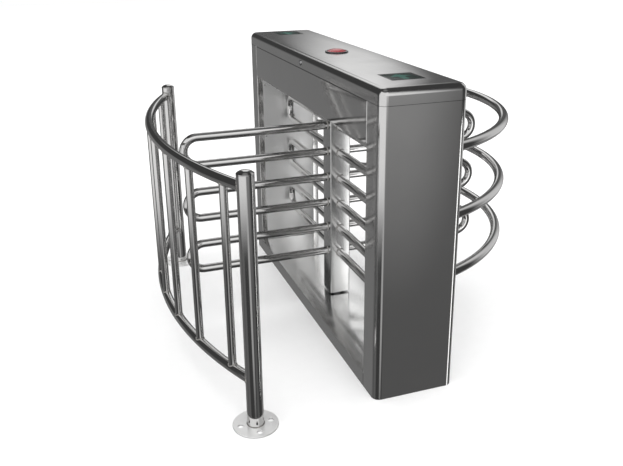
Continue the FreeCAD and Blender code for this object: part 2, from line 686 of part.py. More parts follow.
def solenoid():
    x0 = PAWL_PIVOT_X + 22.0
    half = SOLENOID_SIZE / 2
    z = plunger_z()
    body = box(x0, x0 + SOLENOID_LENGTH, plunger_y() - half, plunger_y() + half, WEB_Z, z + half)
    bore_end = x0 + SOLENOID_BORE_DEPTH
    return body.cut(cyl_x(x0 - 1, bore_end, plunger_y(), z, PLUNGER_RADIUS + RUNNING_FIT))


def position_sensor():
    """A slotted optical sensor on a bent foot, with the sensor disc between its arms."""
    inner = GEAR_RADIUS + GEAR_MODULE + 3.0
    leg_x = inner + 3.0
    low = SENSOR_DISC_Z - SENSOR_SLOT
    high = SENSOR_DISC_Z + SENSOR_DISC_THICKNESS + SENSOR_SLOT
    top = high + SENSOR_ARM
    foot_y = SENSOR_FOOT_WIDTH / 2
    arm_y = SENSOR_ARM_WIDTH / 2
    foot = box(inner, leg_x, -foot_y, foot_y, WEB_Z, top)
    arm_x = SENSOR_DISC_RADIUS - 8.0
    lower = box(arm_x, leg_x, -arm_y, arm_y, low - SENSOR_ARM, low)
    upper = box(arm_x, leg_x, -arm_y, arm_y, high, top)
    back = box(SENSOR_DISC_RADIUS + 4.0, leg_x, -arm_y, arm_y, low - SENSOR_ARM, top)
    return foot.fuse(lower).fuse(upper).fuse(back)


def block_at(x, y, z, width, depth, height):
    """A block centred on (x, y) that stands on z."""
    return box(x - width / 2, x + width / 2, y - depth / 2, y + depth / 2, z, z + height)


def control_board():
    """A circuit board with its relays, capacitors and connectors as raised blocks."""
    z = WEB_Z + BOARD_RAISE
    half = BOARD_WIDTH / 2
    board = box(-half, half, BOARD_START_Y, BOARD_END_Y, z, z + BOARD_THICKNESS)
    top = z + BOARD_THICKNESS
    for i in range(4):
        relay_x = RELAY_PITCH * (i - 1.5)
        board = board.fuse(block_at(relay_x, BOARD_START_Y + 23.0, top, *RELAY_SIZE))
        can_x = CAPACITOR_PITCH * (i - 1.5)
        board = board.fuse(cyl(can_x, BOARD_START_Y + 70.0, top, top + CAPACITOR_HEIGHT, CAPACITOR_RADIUS))
    processor_y = BOARD_END_Y - 54.0
    terminal_y = BOARD_END_Y - 11.0
    board = board.fuse(block_at(0, processor_y, top, 36.0, 36.0, 3.0))
    board = board.fuse(block_at(0, terminal_y, top, 100.0, 14.0, 12.0))
    for x, y in board_corners():
        board = board.cut(cyl(x, y, z - 1, z + 3, 2.0))
    return board


def board_corners():
    x = BOARD_WIDTH / 2 - BOARD_HOLE_INSET
    return [(side * x, y) for side in (-1, 1)
            for y in (BOARD_START_Y + BOARD_HOLE_INSET, BOARD_END_Y - BOARD_HOLE_INSET)]


def board_standoffs():
    return [cyl(x, y, WEB_Z, WEB_Z + BOARD_RAISE, 4.0) for x, y in board_corners()]


def power_supply():
    """A folded case, open where it stands on the beam, with its transformer block inside."""
    y = SUPPLY_START_Y + SUPPLY_LENGTH / 2
    wall = SUPPLY_WALL
    case = block_at(0, y, WEB_Z, SUPPLY_WIDTH, SUPPLY_LENGTH, SUPPLY_HEIGHT)
    hollow = block_at(0, y, WEB_Z - 1, SUPPLY_WIDTH - 2 * wall, SUPPLY_LENGTH - 2 * wall,
                      SUPPLY_HEIGHT + 1 - wall)
    transformer_y = SUPPLY_START_Y + 55.0
    transformer = block_at(0, transformer_y, WEB_Z, TRANSFORMER_SIZE, TRANSFORMER_SIZE,
                           SUPPLY_HEIGHT - wall / 2)
    return case.cut(hollow).fuse(transformer)


# ---------------------------------------------------------------- wings

def tube_along(path, start, direction, outer, wall):
    """A hollow tube that follows a wire from its start point."""
    rim = Part.Wire(Part.makeCircle(outer, start, direction))
    bore = Part.Wire(Part.makeCircle(outer - wall, start, direction))
    solid = path.makePipeShell([rim], True, False)
    hollow = path.makePipeShell([bore], True, False)
    return solid.cut(hollow)


def wing_loop(top_z):
    """One bent tube: out from the column along +X, round a half circle and back lower down."""
    start_x = COLUMN_SIZE / 2
    bend = LOOP_PITCH / 2
    bend_x = WING_REACH - WING_TUBE_RADIUS - bend
    low_z = top_z - LOOP_PITCH
    out = Part.makeLine(Vector(start_x, 0, top_z), Vector(bend_x, 0, top_z))
    turn = Part.Arc(Vector(bend_x, 0, top_z), Vector(bend_x + bend, 0, top_z - bend),
                    Vector(bend_x, 0, low_z)).toShape()
    back = Part.makeLine(Vector(bend_x, 0, low_z), Vector(start_x, 0, low_z))
    path = Part.Wire([out, turn, back])
    return tube_along(path, Vector(start_x, 0, top_z), Vector(1, 0, 0), WING_TUBE_RADIUS, WING_TUBE_WALL)


def wing_loops(degrees):
    return [about_z(wing_loop(LOOP_TOP - LOOP_STEP * i), degrees) for i in range(LOOP_COUNT)]


# ---------------------------------------------------------------- lid

def lid():
    z0 = SEAM_Z + SEAM
    outer = lid_block(HALF_W, HALF_L, z0, CABINET_HEIGHT, CORNER_RADIUS, LID_EDGE_RADIUS)
    inner = lid_block(HALF_W - SHEET, HALF_L - SHEET, z0 - 20.0, CABINET_HEIGHT - SHEET,
                      CORNER_RADIUS - SHEET, LID_EDGE_RADIUS - SHEET)
    shell = outer.cut(inner)
    window = INDICATOR_SIZE / 2 + 0.3
    for y in (INDICATOR_FRONT_Y, INDICATOR_REAR_Y):
        opening = box(-window, window, y - window, y + window, CABINET_HEIGHT - 10, CABINET_HEIGHT + 1)
        shell = shell.cut(opening)
    shell = shell.cut(cyl(0, 0, CABINET_HEIGHT - 10, CABINET_HEIGHT + 1, lamp_body() + 0.3))
    return shell.cut(cyl_x(-HALF_W - 1, -HALF_W + 10, 0, LOCK_HEIGHT, LOCK_RADIUS + 0.3))


def indicator(y):
    """A lit panel: a flush glass face, a rim under the lid's sheet and a box behind it."""
    half = INDICATOR_SIZE / 2
    under = CABINET_HEIGHT - SHEET
    face = box(-half, half, y - half, y + half, under - 1, CABINET_HEIGHT)
    wide = half + INDICATOR_RIM
    inner = half - 4.0
    rim = box(-wide, wide, y - wide, y + wide, under - SHEET, under)
    rear = box(-inner, inner, y - inner, y + inner, under - INDICATOR_DEPTH, under)
    return face.fuse(rim).fuse(rear)


def lamp_body():
    return LAMP_RADIUS - 12.0


def lamp_housing():
    """The lamp's black ring, with a threaded body through the lid and its nut below."""
    top = CABINET_HEIGHT + 4.0
    under = CABINET_HEIGHT - SHEET
    housing = cyl(0, 0, CABINET_HEIGHT, top, LAMP_RADIUS)
    housing = housing.fuse(cyl(0, 0, CABINET_HEIGHT - 32.0, CABINET_HEIGHT + 1, lamp_body()))
    housing = housing.fuse(cyl(0, 0, under - 8.0, under, lamp_body() + 6.0))
    return housing.cut(cyl(0, 0, top - 2.5, top + 1, LENS_RADIUS + 0.1))


def lamp_lens():
    """A shallow dome, the cap of a sphere on a short round edge."""
    seat = CABINET_HEIGHT + 1.5
    edge = seat + 2.5
    radius = (LENS_RADIUS ** 2 + LENS_RISE ** 2) / (2 * LENS_RISE)
    dome = Part.makeSphere(radius, Vector(0, 0, edge + LENS_RISE - radius))
    block = cyl(0, 0, edge - 0.5, edge + LENS_RISE + 1, LENS_RADIUS)
    return dome.common(block).fuse(cyl(0, 0, seat, edge, LENS_RADIUS))


def lid_lock():
    """The fixed barrel of the cam lock with its nut, in the lid's left skirt."""
    barrel = cyl_x(-HALF_W, -HALF_W + 21.0, 0, LOCK_HEIGHT, LOCK_RADIUS)
    barrel = barrel.fuse(cyl_x(-HALF_W - 2.5, -HALF_W, 0, LOCK_HEIGHT, LOCK_RADIUS + 2.0))
    barrel = barrel.fuse(cyl_x(-HALF_W + SHEET, -HALF_W + SHEET + 4.0, 0, LOCK_HEIGHT, LOCK_RADIUS + 3.0))
    return barrel.cut(cyl_x(-HALF_W - 3, -HALF_W + 22, 0, LOCK_HEIGHT, PLUG_RADIUS + RUNNING_FIT))


def lock_cam():
    """The key plug with its cam, whose hook lies along +Y when unlocked."""
    plate_x = -HALF_W + 21.3
    plug = cyl_x(-HALF_W - 2.3, plate_x + 3.0, 0, LOCK_HEIGHT, PLUG_RADIUS)
    keyway = box(-HALF_W - 3.0, -HALF_W - 1.0, -3.5, 3.5, LOCK_HEIGHT - 0.6, LOCK_HEIGHT + 0.6)
    plate = box(plate_x, plate_x + 3.0, -6.0, CAM_REACH, LOCK_HEIGHT - 6.0, LOCK_HEIGHT + 6.0)
    hook = box(-HALF_W + 10.0, plate_x + 3.0, CAM_REACH - 6.0, CAM_REACH,
               LOCK_HEIGHT - 3.0, LOCK_HEIGHT + 3.0)
    return plug.cut(keyway).fuse(plate).fuse(hook)


def knuckle(y0, y1):
    return cyl_y(HINGE_X, y0, y1, SEAM_Z, KNUCKLE_RADIUS)


def hinge_third(centre):
    third = HINGE_LENGTH / 3
    return centre - HINGE_LENGTH / 2, centre - third / 2, centre + third / 2, centre + HINGE_LENGTH / 2


def fixed_leaf(centre):
    """The leaf on the header panel, with the middle knuckle."""
    y0, y1, y2, y3 = hinge_third(centre)
    plate = box(HALF_W, HALF_W + SHEET, y0, y3, SEAM_Z - LEAF_HEIGHT, SEAM_Z - KNUCKLE_RADIUS - 0.5)
    neck = box(HALF_W, HALF_W + SHEET, y1 + 0.3, y2 - 0.3, SEAM_Z - LEAF_HEIGHT, SEAM_Z)
    leaf = plate.fuse(neck).fuse(knuckle(y1 + 0.3, y2 - 0.3))
    return leaf.cut(hinge_bore(centre))


def moving_leaf(centre):
    """The leaf on the lid's skirt, with the two outer knuckles."""
    y0, y1, y2, y3 = hinge_third(centre)
    plate = box(HALF_W, HALF_W + SHEET, y0, y3, SEAM_Z + KNUCKLE_RADIUS + 0.5, SEAM_Z + LEAF_HEIGHT)
    leaf = plate
    for a, b in ((y0, y1), (y2, y3)):
        leaf = leaf.fuse(box(HALF_W, HALF_W + SHEET, a, b, SEAM_Z + SEAM, SEAM_Z + LEAF_HEIGHT))
        leaf = leaf.fuse(knuckle(a, b))
    return leaf.cut(hinge_bore(centre))


def hinge_bore(centre):
    half = HINGE_LENGTH / 2 + 1
    return cyl_y(HINGE_X, centre - half, centre + half, SEAM_Z, HINGE_PIN_RADIUS + RUNNING_FIT)


def hinge_pin(centre):
    half = HINGE_LENGTH / 2 + 1.5
    pin = cyl_y(HINGE_X, centre - half, centre + half, SEAM_Z, HINGE_PIN_RADIUS)
    head = cyl_y(HINGE_X, centre + half - 1.0, centre + half + 1.0, SEAM_Z, HINGE_PIN_RADIUS + 1.5)
    return pin.fuse(head)


# ---------------------------------------------------------------- hoops and railing

def arc_tube(centre_x, centre_y, radius, z, a0, a1, outer, wall):
    """A level tube bent to a circle about (centre_x, centre_y), from angle a0 to a1 in degrees."""
    def at(degrees):
        angle = math.radians(degrees)
        return Vector(centre_x + radius * math.cos(angle), centre_y + radius * math.sin(angle), z)
    path = Part.Wire(Part.Arc(at(a0), at((a0 + a1) / 2), at(a1)).toShape())
    start = math.radians(a0)
    direction = Vector(-math.sin(start), math.cos(start), 0)
    if wall:
        return tube_along(path, at(a0), direction, outer, wall)
    rim = Part.Wire(Part.makeCircle(outer, at(a0), direction))
    return path.makePipeShell([rim], True, False)


def hoop(z):
    """A bent tube cut off flush with the cabinet's right face, where it is welded to both pillars."""
    end = math.degrees(math.acos((HALF_W - HOOP_CENTRE_X) / HOOP_RADIUS))
    extra = 4.0
    tube = arc_tube(HOOP_CENTRE_X, 0, HOOP_RADIUS, z, -end - extra, end + extra,
                    HOOP_TUBE_RADIUS, HOOP_TUBE_WALL)
    reach = 2 * HOOP_RADIUS
    return tube.cut(box(-reach, HALF_W, -reach, reach, z - 50.0, z + 50.0))


def post_centre(end):
    y = RAIL_CENTRE_Y + end * POST_HALF_SPAN
    x = RAIL_CENTRE_X - math.sqrt(RAIL_RADIUS ** 2 - POST_HALF_SPAN ** 2) + POST_INWARD
    return x, y


def railing_post(end):
    x, y = post_centre(end)
    top = POST_HEIGHT - POST_CAP_HEIGHT
    return ring(x, y, POST_FLANGE_THICKNESS, top, POST_RADIUS, POST_RADIUS - POST_WALL)


def post_cap(end):
    """A domed cap on the post, with a plug inside the tube."""
    x, y = post_centre(end)
    bottom = POST_HEIGHT - POST_CAP_HEIGHT
    rise = POST_CAP_HEIGHT - 2.0
    radius = (POST_RADIUS ** 2 + rise ** 2) / (2 * rise)
    dome = Part.makeSphere(radius, Vector(x, y, POST_HEIGHT - radius))
    cap = dome.common(cyl(x, y, bottom + 1.0, POST_HEIGHT + 1, POST_RADIUS))
    cap = cap.fuse(cyl(x, y, bottom, bottom + 2.0, POST_RADIUS))
    return cap.fuse(cyl(x, y, bottom - 10.0, bottom, POST_RADIUS - POST_WALL - SEAT_FIT))


def post_flange(end):
    x, y = post_centre(end)
    disc = cyl(x, y, 0, POST_FLANGE_THICKNESS, POST_FLANGE_RADIUS)
    for i in range(POST_BOLT_COUNT):
        angle = 2 * math.pi * i / POST_BOLT_COUNT
        bx = x + POST_BOLT_CIRCLE / 2 * math.cos(angle)
        by = y + POST_BOLT_CIRCLE / 2 * math.sin(angle)
        disc = disc.cut(cyl(bx, by, -1, POST_FLANGE_THICKNESS + 1, POST_BOLT_RADIUS))
    return disc


def rail_end_angle():
    return math.degrees(math.asin(POST_HALF_SPAN / RAIL_RADIUS))


def railing_rail(z):
    """A bent tube between the posts, with its ends cut to fit round them."""
    end = rail_end_angle()
    tube = arc_tube(RAIL_CENTRE_X, RAIL_CENTRE_Y, RAIL_RADIUS, z, 180 - end, 180 + end,
                    RAIL_TUBE_RADIUS, RAIL_TUBE_WALL)
    for side in (-1, 1):
        x, y = post_centre(side)
        tube = tube.cut(cyl(x, y, z - 50, z + 50, POST_RADIUS + SEAT_FIT))
    return max(tube.Solids, key=lambda solid: solid.Volume)


def balusters():
    """Upright tubes between the two rails, with their ends cut to fit round the rails."""
    end = rail_end_angle()
    rails = [arc_tube(RAIL_CENTRE_X, RAIL_CENTRE_Y, RAIL_RADIUS, z, 180 - end, 180 + end,
                      RAIL_TUBE_RADIUS + SEAT_FIT, 0) for z in (RAIL_BOTTOM, RAIL_TOP)]
    bars = []
    for i in range(BALUSTER_COUNT):
        offset = (i - (BALUSTER_COUNT - 1) / 2) * BALUSTER_PITCH
        x = RAIL_CENTRE_X - math.sqrt(RAIL_RADIUS ** 2 - offset ** 2)
        y = RAIL_CENTRE_Y + offset
        tube = ring(x, y, RAIL_BOTTOM, RAIL_TOP, BALUSTER_RADIUS, BALUSTER_RADIUS - BALUSTER_WALL)
        for rail in rails:
            tube = tube.cut(rail)
        bars.append(max(tube.Solids, key=lambda solid: solid.Volume))
    return bars


# ---------------------------------------------------------------- the assembly

def main():
    os.makedirs("parts", exist_ok=True)
    save("base_tray", base_tray())
    save("threshold_plate", threshold_plate())
    entry_pillar = pillar_shell()
    save("front_pillar_shell", entry_pillar)
    save("rear_pillar_shell", mirror_y(entry_pillar))
    save("front_pillar_cover", pillar_cover())
    save("rear_pillar_cover", mirror_y(pillar_cover()))
    save("cover_screws", *cover_screws())
    save("left_header_panel", left_header_panel())
    save("right_header_panel", mirror_x(header_panel()))
    save("header_soffit", header_soffit())
    save("header_beam", header_beam())
    save("header_fasteners", *beam_bolts(), *board_standoffs())
    save("top_bearing_housing", top_bearing_housing())
    save("top_bearing_outer_ring", bearing_outer_ring())
    save("top_bearing_balls", *bearing_balls())
    save("foot_bearing_housing", foot_housing())
    save("foot_bush", foot_bush())
    save("gearmotor", gearmotor())
    save("pawl_solenoids", solenoid(), about_z(solenoid(), 180))
    save("pawl_pivot_pins", pawl_pin(), about_z(pawl_pin(), 180))
    save("pawl_return_springs", pawl_spring(), about_z(pawl_spring(), 180))
    save("position_sensor", position_sensor())
    save("control_board", control_board())
    save("power_supply", power_supply())
    for name, height in HOOP_HEIGHTS.items():
        save(name, hoop(height))
    save("front_railing_post", railing_post(-1))
    save("rear_railing_post", railing_post(1))
    save("railing_post_caps", post_cap(-1), post_cap(1))
    save("railing_post_flanges", post_flange(-1), post_flange(1))
    save("railing_top_rail", railing_rail(RAIL_TOP))
    save("railing_bottom_rail", railing_rail(RAIL_BOTTOM))
    save("railing_balusters", *balusters())
    hinges = [make(y) for y in (-HINGE_Y, HINGE_Y) for make in (fixed_leaf, hinge_pin)]
    save("lid_hinge_fixed_halves", *hinges)

    save("rotor_column", rotor_column())
    save("rotor_shaft", rotor_shaft())
    save("rotor_foot_pivot", rotor_pivot())
    for name, degrees in (("right", 0), ("rear", 90), ("left", 180), ("front", 270)):
        save(name + "_wing_loops", *wing_loops(degrees))
    save("top_bearing_inner_ring", bearing_inner_ring())
    save("lock_disc", lock_disc())
    save("main_gear", main_gear())
    save("sensor_disc", sensor_disc())
    save("shaft_collar", shaft_collar())

    save("motor_pinion", motor_pinion())
    save("entry_pawl", pawl())
    save("exit_pawl", about_z(pawl(), 180))
    save("entry_plunger", plunger())
    save("exit_plunger", about_z(plunger(), 180))

    save("lid", lid())
    save("lid_hinge_moving_leaves", moving_leaf(-HINGE_Y), moving_leaf(HINGE_Y))
    save("front_indicator_panel", indicator(INDICATOR_FRONT_Y))
    save("rear_indicator_panel", indicator(INDICATOR_REAR_Y))
    save("lamp_housing", lamp_housing())
    save("lamp_lens", lamp_lens())
    save("lid_lock", lid_lock())
    save("lid_lock_cam", lock_cam())


main()
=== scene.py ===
# Visitor counter turnstile: a polished steel portal with a four-wing rotor, closing hoops and a lane railing.
# Metres, +Z up, origin on the floor at the rotor's axis, -Y is the entry end and -X the lane side.
import math

import bpy
import numpy as np
from mathutils import Matrix, Vector


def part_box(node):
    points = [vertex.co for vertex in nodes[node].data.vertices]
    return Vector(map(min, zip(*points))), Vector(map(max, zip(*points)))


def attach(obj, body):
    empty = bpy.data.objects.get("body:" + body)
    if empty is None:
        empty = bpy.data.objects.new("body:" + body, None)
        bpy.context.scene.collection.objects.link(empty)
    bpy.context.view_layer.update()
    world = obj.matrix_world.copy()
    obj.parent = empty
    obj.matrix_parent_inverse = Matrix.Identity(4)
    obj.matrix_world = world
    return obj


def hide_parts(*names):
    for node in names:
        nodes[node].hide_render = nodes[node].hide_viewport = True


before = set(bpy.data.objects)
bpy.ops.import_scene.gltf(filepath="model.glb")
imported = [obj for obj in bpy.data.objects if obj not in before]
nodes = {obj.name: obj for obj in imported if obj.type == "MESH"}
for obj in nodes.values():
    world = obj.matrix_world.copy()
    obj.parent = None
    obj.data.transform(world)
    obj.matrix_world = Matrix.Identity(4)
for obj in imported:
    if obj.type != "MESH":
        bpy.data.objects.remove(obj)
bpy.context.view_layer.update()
print("frame loaded,", len(nodes), "nodes")


def span(node):
    low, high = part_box(node)
    return np.array(low), np.array(high)


def gridShell(points, closed=False):
    # rows of a grid follow a path and its columns wrap round the section; open ends get a flat face
    rows, columns = points.shape[:2]
    flat = points.reshape(-1, 3)
    r, c = np.meshgrid(np.arange(rows if closed else rows - 1), np.arange(columns), indexing="ij")
    r, c = r.ravel(), c.ravel()
    nextRow, nextColumn = (r + 1) % rows, (c + 1) % columns
    quads = np.stack([r * columns + c, r * columns + nextColumn,
                      nextRow * columns + nextColumn, nextRow * columns + c], axis=1)
    around = np.linalg.norm(np.diff(points[rows // 2], axis=0, append=points[rows // 2, :1]), axis=1)
    along = np.linalg.norm(np.diff(points[:, 0], axis=0, append=points[:1, 0]), axis=1)
    u = np.concatenate([[0], np.cumsum(around)])
    v = np.concatenate([[0], np.cumsum(along)])
    uv = np.stack([np.stack([u[c], v[r]], 1), np.stack([u[c + 1], v[r]], 1),
                   np.stack([u[c + 1], v[r + 1]], 1), np.stack([u[c], v[r + 1]], 1)], axis=1)
    p = flat[quads]
    volume = np.einsum("ij,ij->", p[:, 0], np.cross(p[:, 1], p[:, 2]) + np.cross(p[:, 2], p[:, 3]))
    faces = quads.tolist()
    uvs = uv.tolist()
    if not closed:
        for cap in (np.arange(columns)[::-1], (rows - 1) * columns + np.arange(columns)):
            ring = flat[cap]
            volume += np.einsum("ij,ij->", np.tile(ring[0], (columns - 1, 1)), np.cross(ring[:-1], ring[1:]))
            faces.append(cap.tolist())
            uvs.append((ring[:, :2] + ring[:, 2:]).tolist())
    if volume < 0:
        faces = [face[::-1] for face in faces]
        uvs = [face[::-1] for face in uvs]
    return flat, faces, uvs


def repeated(shell, offsets):
    # copies of one shell, moved by each row of offsets
    flat, faces, uvs = shell
    offsets = np.asarray(offsets, float)
    points = (offsets[:, None] + flat[None]).reshape(-1, 3)
    copies = [[i + k * len(flat) for i in face] for k in range(len(offsets)) for face in faces]
    return points, copies, uvs * len(offsets)


def turnedAboutZ(points, degrees):
    a = math.radians(degrees)
    turn = np.array([[math.cos(a), math.sin(a), 0], [-math.sin(a), math.cos(a), 0], [0, 0, 1]])
    return points @ turn


def bentLine(corners, radii, steps=8):
    # straight runs joined by arcs that touch both neighbours; gives points and left-hand normals
    corners = np.asarray(corners, float)
    run = np.diff(corners, axis=0)
    run /= np.linalg.norm(run, axis=1)[:, None]
    left = np.stack([-run[:, 1], run[:, 0]], axis=1)
    points, normals = [corners[:1]], [left[:1]]
    for k, radius in enumerate(radii):
        turn = math.atan2(run[k, 0] * run[k + 1, 1] - run[k, 1] * run[k + 1, 0], run[k] @ run[k + 1])
        start = corners[k + 1] - run[k] * radius * math.tan(abs(turn) / 2)
        centre = start + left[k] * radius * np.sign(turn)
        a = np.linspace(0, turn, steps + 1)
        swing = np.stack([np.cos(a), -np.sin(a), np.sin(a), np.cos(a)], axis=1).reshape(-1, 2, 2)
        points.append(centre + swing @ (start - centre))
        normals.append(swing @ left[k])
    points.append(corners[-1:])
    normals.append(left[-1:])
    return np.concatenate(points), np.concatenate(normals)


def sheetSection(corners, radii, thickness, steps=8):
    # a bent line given thickness to both sides, as one closed outline
    line, normal = bentLine(corners, radii, steps)
    return np.concatenate([line + normal * thickness / 2, (line - normal * thickness / 2)[::-1]])


def extruded(section, stations, axis):
    # a closed outline carried straight along one axis
    outline = np.concatenate([section, np.zeros((len(section), 1))], axis=1)
    points = np.repeat(outline[None], len(stations), axis=0)
    points[:, :, 2] = np.asarray(stations)[:, None]
    return gridShell(np.roll(points, axis + 1, axis=2))


def planOutline(halfX, halfY, corner, inset, steps):
    # a rectangle with round corners, drawn in by each inset: corner centres plus (corner - inset) * direction
    a = np.linspace(0, np.pi / 2, steps + 1)
    a = (np.arange(4)[:, None] * np.pi / 2 + a).ravel()
    signX = np.repeat([1, -1, -1, 1], steps + 1)
    signY = np.repeat([1, 1, -1, -1], steps + 1)
    radius = corner - np.asarray(inset)[:, None]
    x = signX * (halfX - corner) + radius * np.cos(a)
    y = signY * (halfY - corner) + radius * np.sin(a)
    return x, y


def slabShell(low, high, corner, edge, axis=2, steps=5, edgeSteps=3):
    # a plate: the plan outline drawn in along a quarter circle towards both of its faces
    low, high = np.roll(low, 2 - axis), np.roll(high, 2 - axis)
    q = np.linspace(0, np.pi / 2, edgeSteps + 1)
    inset = np.concatenate([edge * (1 - np.sin(q)), edge * (1 - np.cos(q))])
    height = np.concatenate([low[2] + edge * (1 - np.cos(q)), high[2] - edge * (1 - np.sin(q))])
    half = (high - low) / 2
    x, y = planOutline(half[0], half[1], corner, inset, steps)
    middle = (high + low) / 2
    points = np.stack([x + middle[0], y + middle[1], np.repeat(height[:, None], x.shape[1], axis=1)], axis=2)
    return gridShell(np.roll(points, axis + 1, axis=2))


def trayShell(low, high, corner, edge, wall, axis=2, faceUp=True, steps=8, edgeSteps=8):
    # a folded tray, followed from the inside of its face round the inner bend, the inner side, the rim,
    # the outer side and the outer bend to the outside of the face
    low, high = np.roll(low, 2 - axis), np.roll(high, 2 - axis)
    depth = high[2] - low[2]
    q = np.linspace(0, np.pi / 2, edgeSteps + 1)
    inner, rim = edge - wall, wall / 4
    back = q[::-1]
    inset = np.concatenate([edge - inner * np.cos(back), [wall, wall - rim, rim, 0], edge - edge * np.cos(q)])
    rise = np.concatenate([depth - edge + inner * np.sin(back), [rim, 0, 0, rim],
                           depth - edge + edge * np.sin(q)])
    half = (high - low) / 2
    x, y = planOutline(half[0], half[1], corner, inset, steps)
    middle = (high + low) / 2
    height = low[2] + rise if faceUp else high[2] - rise
    points = np.stack([x + middle[0], y + middle[1], np.repeat(height[:, None], x.shape[1], axis=1)], axis=2)
    return gridShell(np.roll(points, axis + 1, axis=2))


def turnedShell(profile, centre, axis=2, count=72):
    # (radius, height) points turned about an axis through the centre
    profile = np.asarray(profile, float)
    a = np.linspace(0, 2 * np.pi, count, endpoint=False)
    points = np.stack([profile[:, :1] * np.cos(a), profile[:, :1] * np.sin(a),
                       np.repeat(profile[:, 1:], count, axis=1)], axis=2)
    return gridShell(np.roll(points, axis + 1, axis=2) + np.asarray(centre, float))


def tubeShell(centre, tangent, side, radius, count=40):
    # rings square to a flat path: centre + radius * (cos a * normal + sin a * side)
    a = np.linspace(0, 2 * np.pi, count, endpoint=False)
    normal = np.cross(side, tangent)
    points = centre[:, None] + radius * (np.cos(a)[None, :, None] * normal[:, None]
                                         + np.sin(a)[None, :, None] * np.asarray(side, float))
    return gridShell(points)


def arcTube(centre, bendRadius, tubeRadius, a0, a1, rows=90, count=40):
    # a level tube round a circle: the bend radius grows by tubeRadius * cos a, the height by sin a
    t = np.linspace(0, 1, rows)[:, None]
    a = np.linspace(0, 2 * np.pi, count, endpoint=False)[None]
    reach = bendRadius + tubeRadius * np.cos(a)
    phi = a0 + (a1 - a0) * t
    points = np.stack([centre[0] + reach * np.cos(phi), centre[1] + reach * np.sin(phi),
                       centre[2] + tubeRadius * np.sin(a) + 0 * phi], axis=2)
    return points


bead = {"radius": 0.0021, "ripple": 0.16, "rippleLength": 0.0021, "steps": 8}


def beadShell(line, outward, lift):
    # a weld bead: a small ring section carried round a closed line, swelling in even ripples
    length = np.linalg.norm(np.diff(line, axis=0, append=line[:1]), axis=1)
    way = np.cumsum(length) / length.sum()
    ripples = round(length.sum() / bead["rippleLength"])
    size = bead["radius"] * (1 + bead["ripple"] * np.sin(2 * np.pi * ripples * way))
    b = np.linspace(0, 2 * np.pi, bead["steps"], endpoint=False)[None, :, None]
    section = np.cos(b) * outward[:, None] + np.sin(b) * lift[:, None]
    return gridShell(line[:, None] + size[:, None, None] * section, closed=True)


def ringBead(centre, axis, radius, count=160):
    # a bead round a tube that meets a flat face square on
    axis = np.asarray(axis, float)
    across = np.cross(axis, [0.3, 0.5, 0.81])
    across /= np.linalg.norm(across)
    a = np.linspace(0, 2 * np.pi, count, endpoint=False)[:, None]
    outward = np.cos(a) * across + np.sin(a) * np.cross(axis, across)
    return beadShell(np.asarray(centre, float) + radius * outward, outward, np.tile(axis, (count, 1)))


def addMesh(name, shells):
    points, faces, uvs, start = [], [], [], 0
    for flat, shellFaces, shellUvs in shells:
        points.append(flat)
        faces += [[i + start for i in face] for face in shellFaces]
        uvs += shellUvs
        start += len(flat)
    mesh = bpy.data.meshes.new(name)
    mesh.from_pydata(np.concatenate(points), [], faces)
    layer = mesh.uv_layers.new(name="surface")
    layer.data.foreach_set("uv", np.array([uv for face in uvs for uv in face], dtype=np.float32).ravel())
    piece = bpy.data.objects.new(name, mesh)
    bpy.context.scene.collection.objects.link(piece)
    return piece


def cutAway(piece, cutters):
    # takes the cutters' shells out of the piece
    cutter = addMesh("cutter", cutters)
    modifier = piece.modifiers.new("cut", "BOOLEAN")
    modifier.operation = "DIFFERENCE"
    modifier.solver = "EXACT"
    modifier.object = cutter
    graph = bpy.context.evaluated_depsgraph_get()
    cut = bpy.data.meshes.new_from_object(piece.evaluated_get(graph))
    piece.modifiers.clear()
    piece.data = cut
    bpy.data.objects.remove(cutter)


pieceCount = 0


def finishPiece(piece, material, body, replaced=(), sharp=32):
    global pieceCount
    mesh = piece.data
    mesh.polygons.foreach_set("use_smooth", np.ones(len(mesh.polygons), dtype=bool))
    mesh.set_sharp_from_angle(angle=math.radians(sharp))
    mesh.materials.clear()
    mesh.materials.append(material)
    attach(piece, body)
    if replaced:
        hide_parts(*replaced)
    pieceCount += 1
    return piece


def shaderOf(material):
    return material.node_tree.nodes["Principled BSDF"]


def newMaterial(name):
    material = bpy.data.materials.new(name)
    material.use_nodes = True
    return material, material.node_tree, shaderOf(material)


def addNode(tree, kind, inputs=None, **settings):
    node = tree.nodes.new(kind)
    for key, value in settings.items():
        setattr(node, key, value)
    for key, value in (inputs or {}).items():
        if isinstance(value, bpy.types.NodeSocket):
            tree.links.new(value, node.inputs[key])
        else:
            node.inputs[key].default_value = value
    return node


def mathNode(tree, operation, a, b=0.0, c=None):
    node = addNode(tree, "ShaderNodeMath", {0: a, 1: b}, operation=operation)
    if c is not None:
        node.inputs[2].default_value = c
    return node.outputs[0]


def noiseAt(tree, vector, scale, detail=3.0, roughness=0.5, stretch=None):
    if stretch:
        vector = addNode(tree, "ShaderNodeMapping", {"Vector": vector, "Scale": stretch}).outputs["Vector"]
    node = addNode(tree, "ShaderNodeTexNoise", {"Vector": vector, "Scale": scale, "Detail": detail,
                                                "Roughness": roughness})
    return node.outputs["Fac"]


def ranged(tree, value, low, high, fromLow=0.25, fromHigh=0.75):
    return addNode(tree, "ShaderNodeMapRange", {"Value": value, "From Min": fromLow, "From Max": fromHigh,
                                                "To Min": low, "To Max": high}).outputs["Result"]


def blended(tree, factor, a, b):
    node = addNode(tree, "ShaderNodeMix", {"Factor": factor}, data_type="RGBA")
    for socket, colour in ((node.inputs[6], a), (node.inputs[7], b)):
        if isinstance(colour, bpy.types.NodeSocket):
            tree.links.new(colour, socket)
        else:
            socket.default_value = (*colour, 1)
    return node.outputs[2]


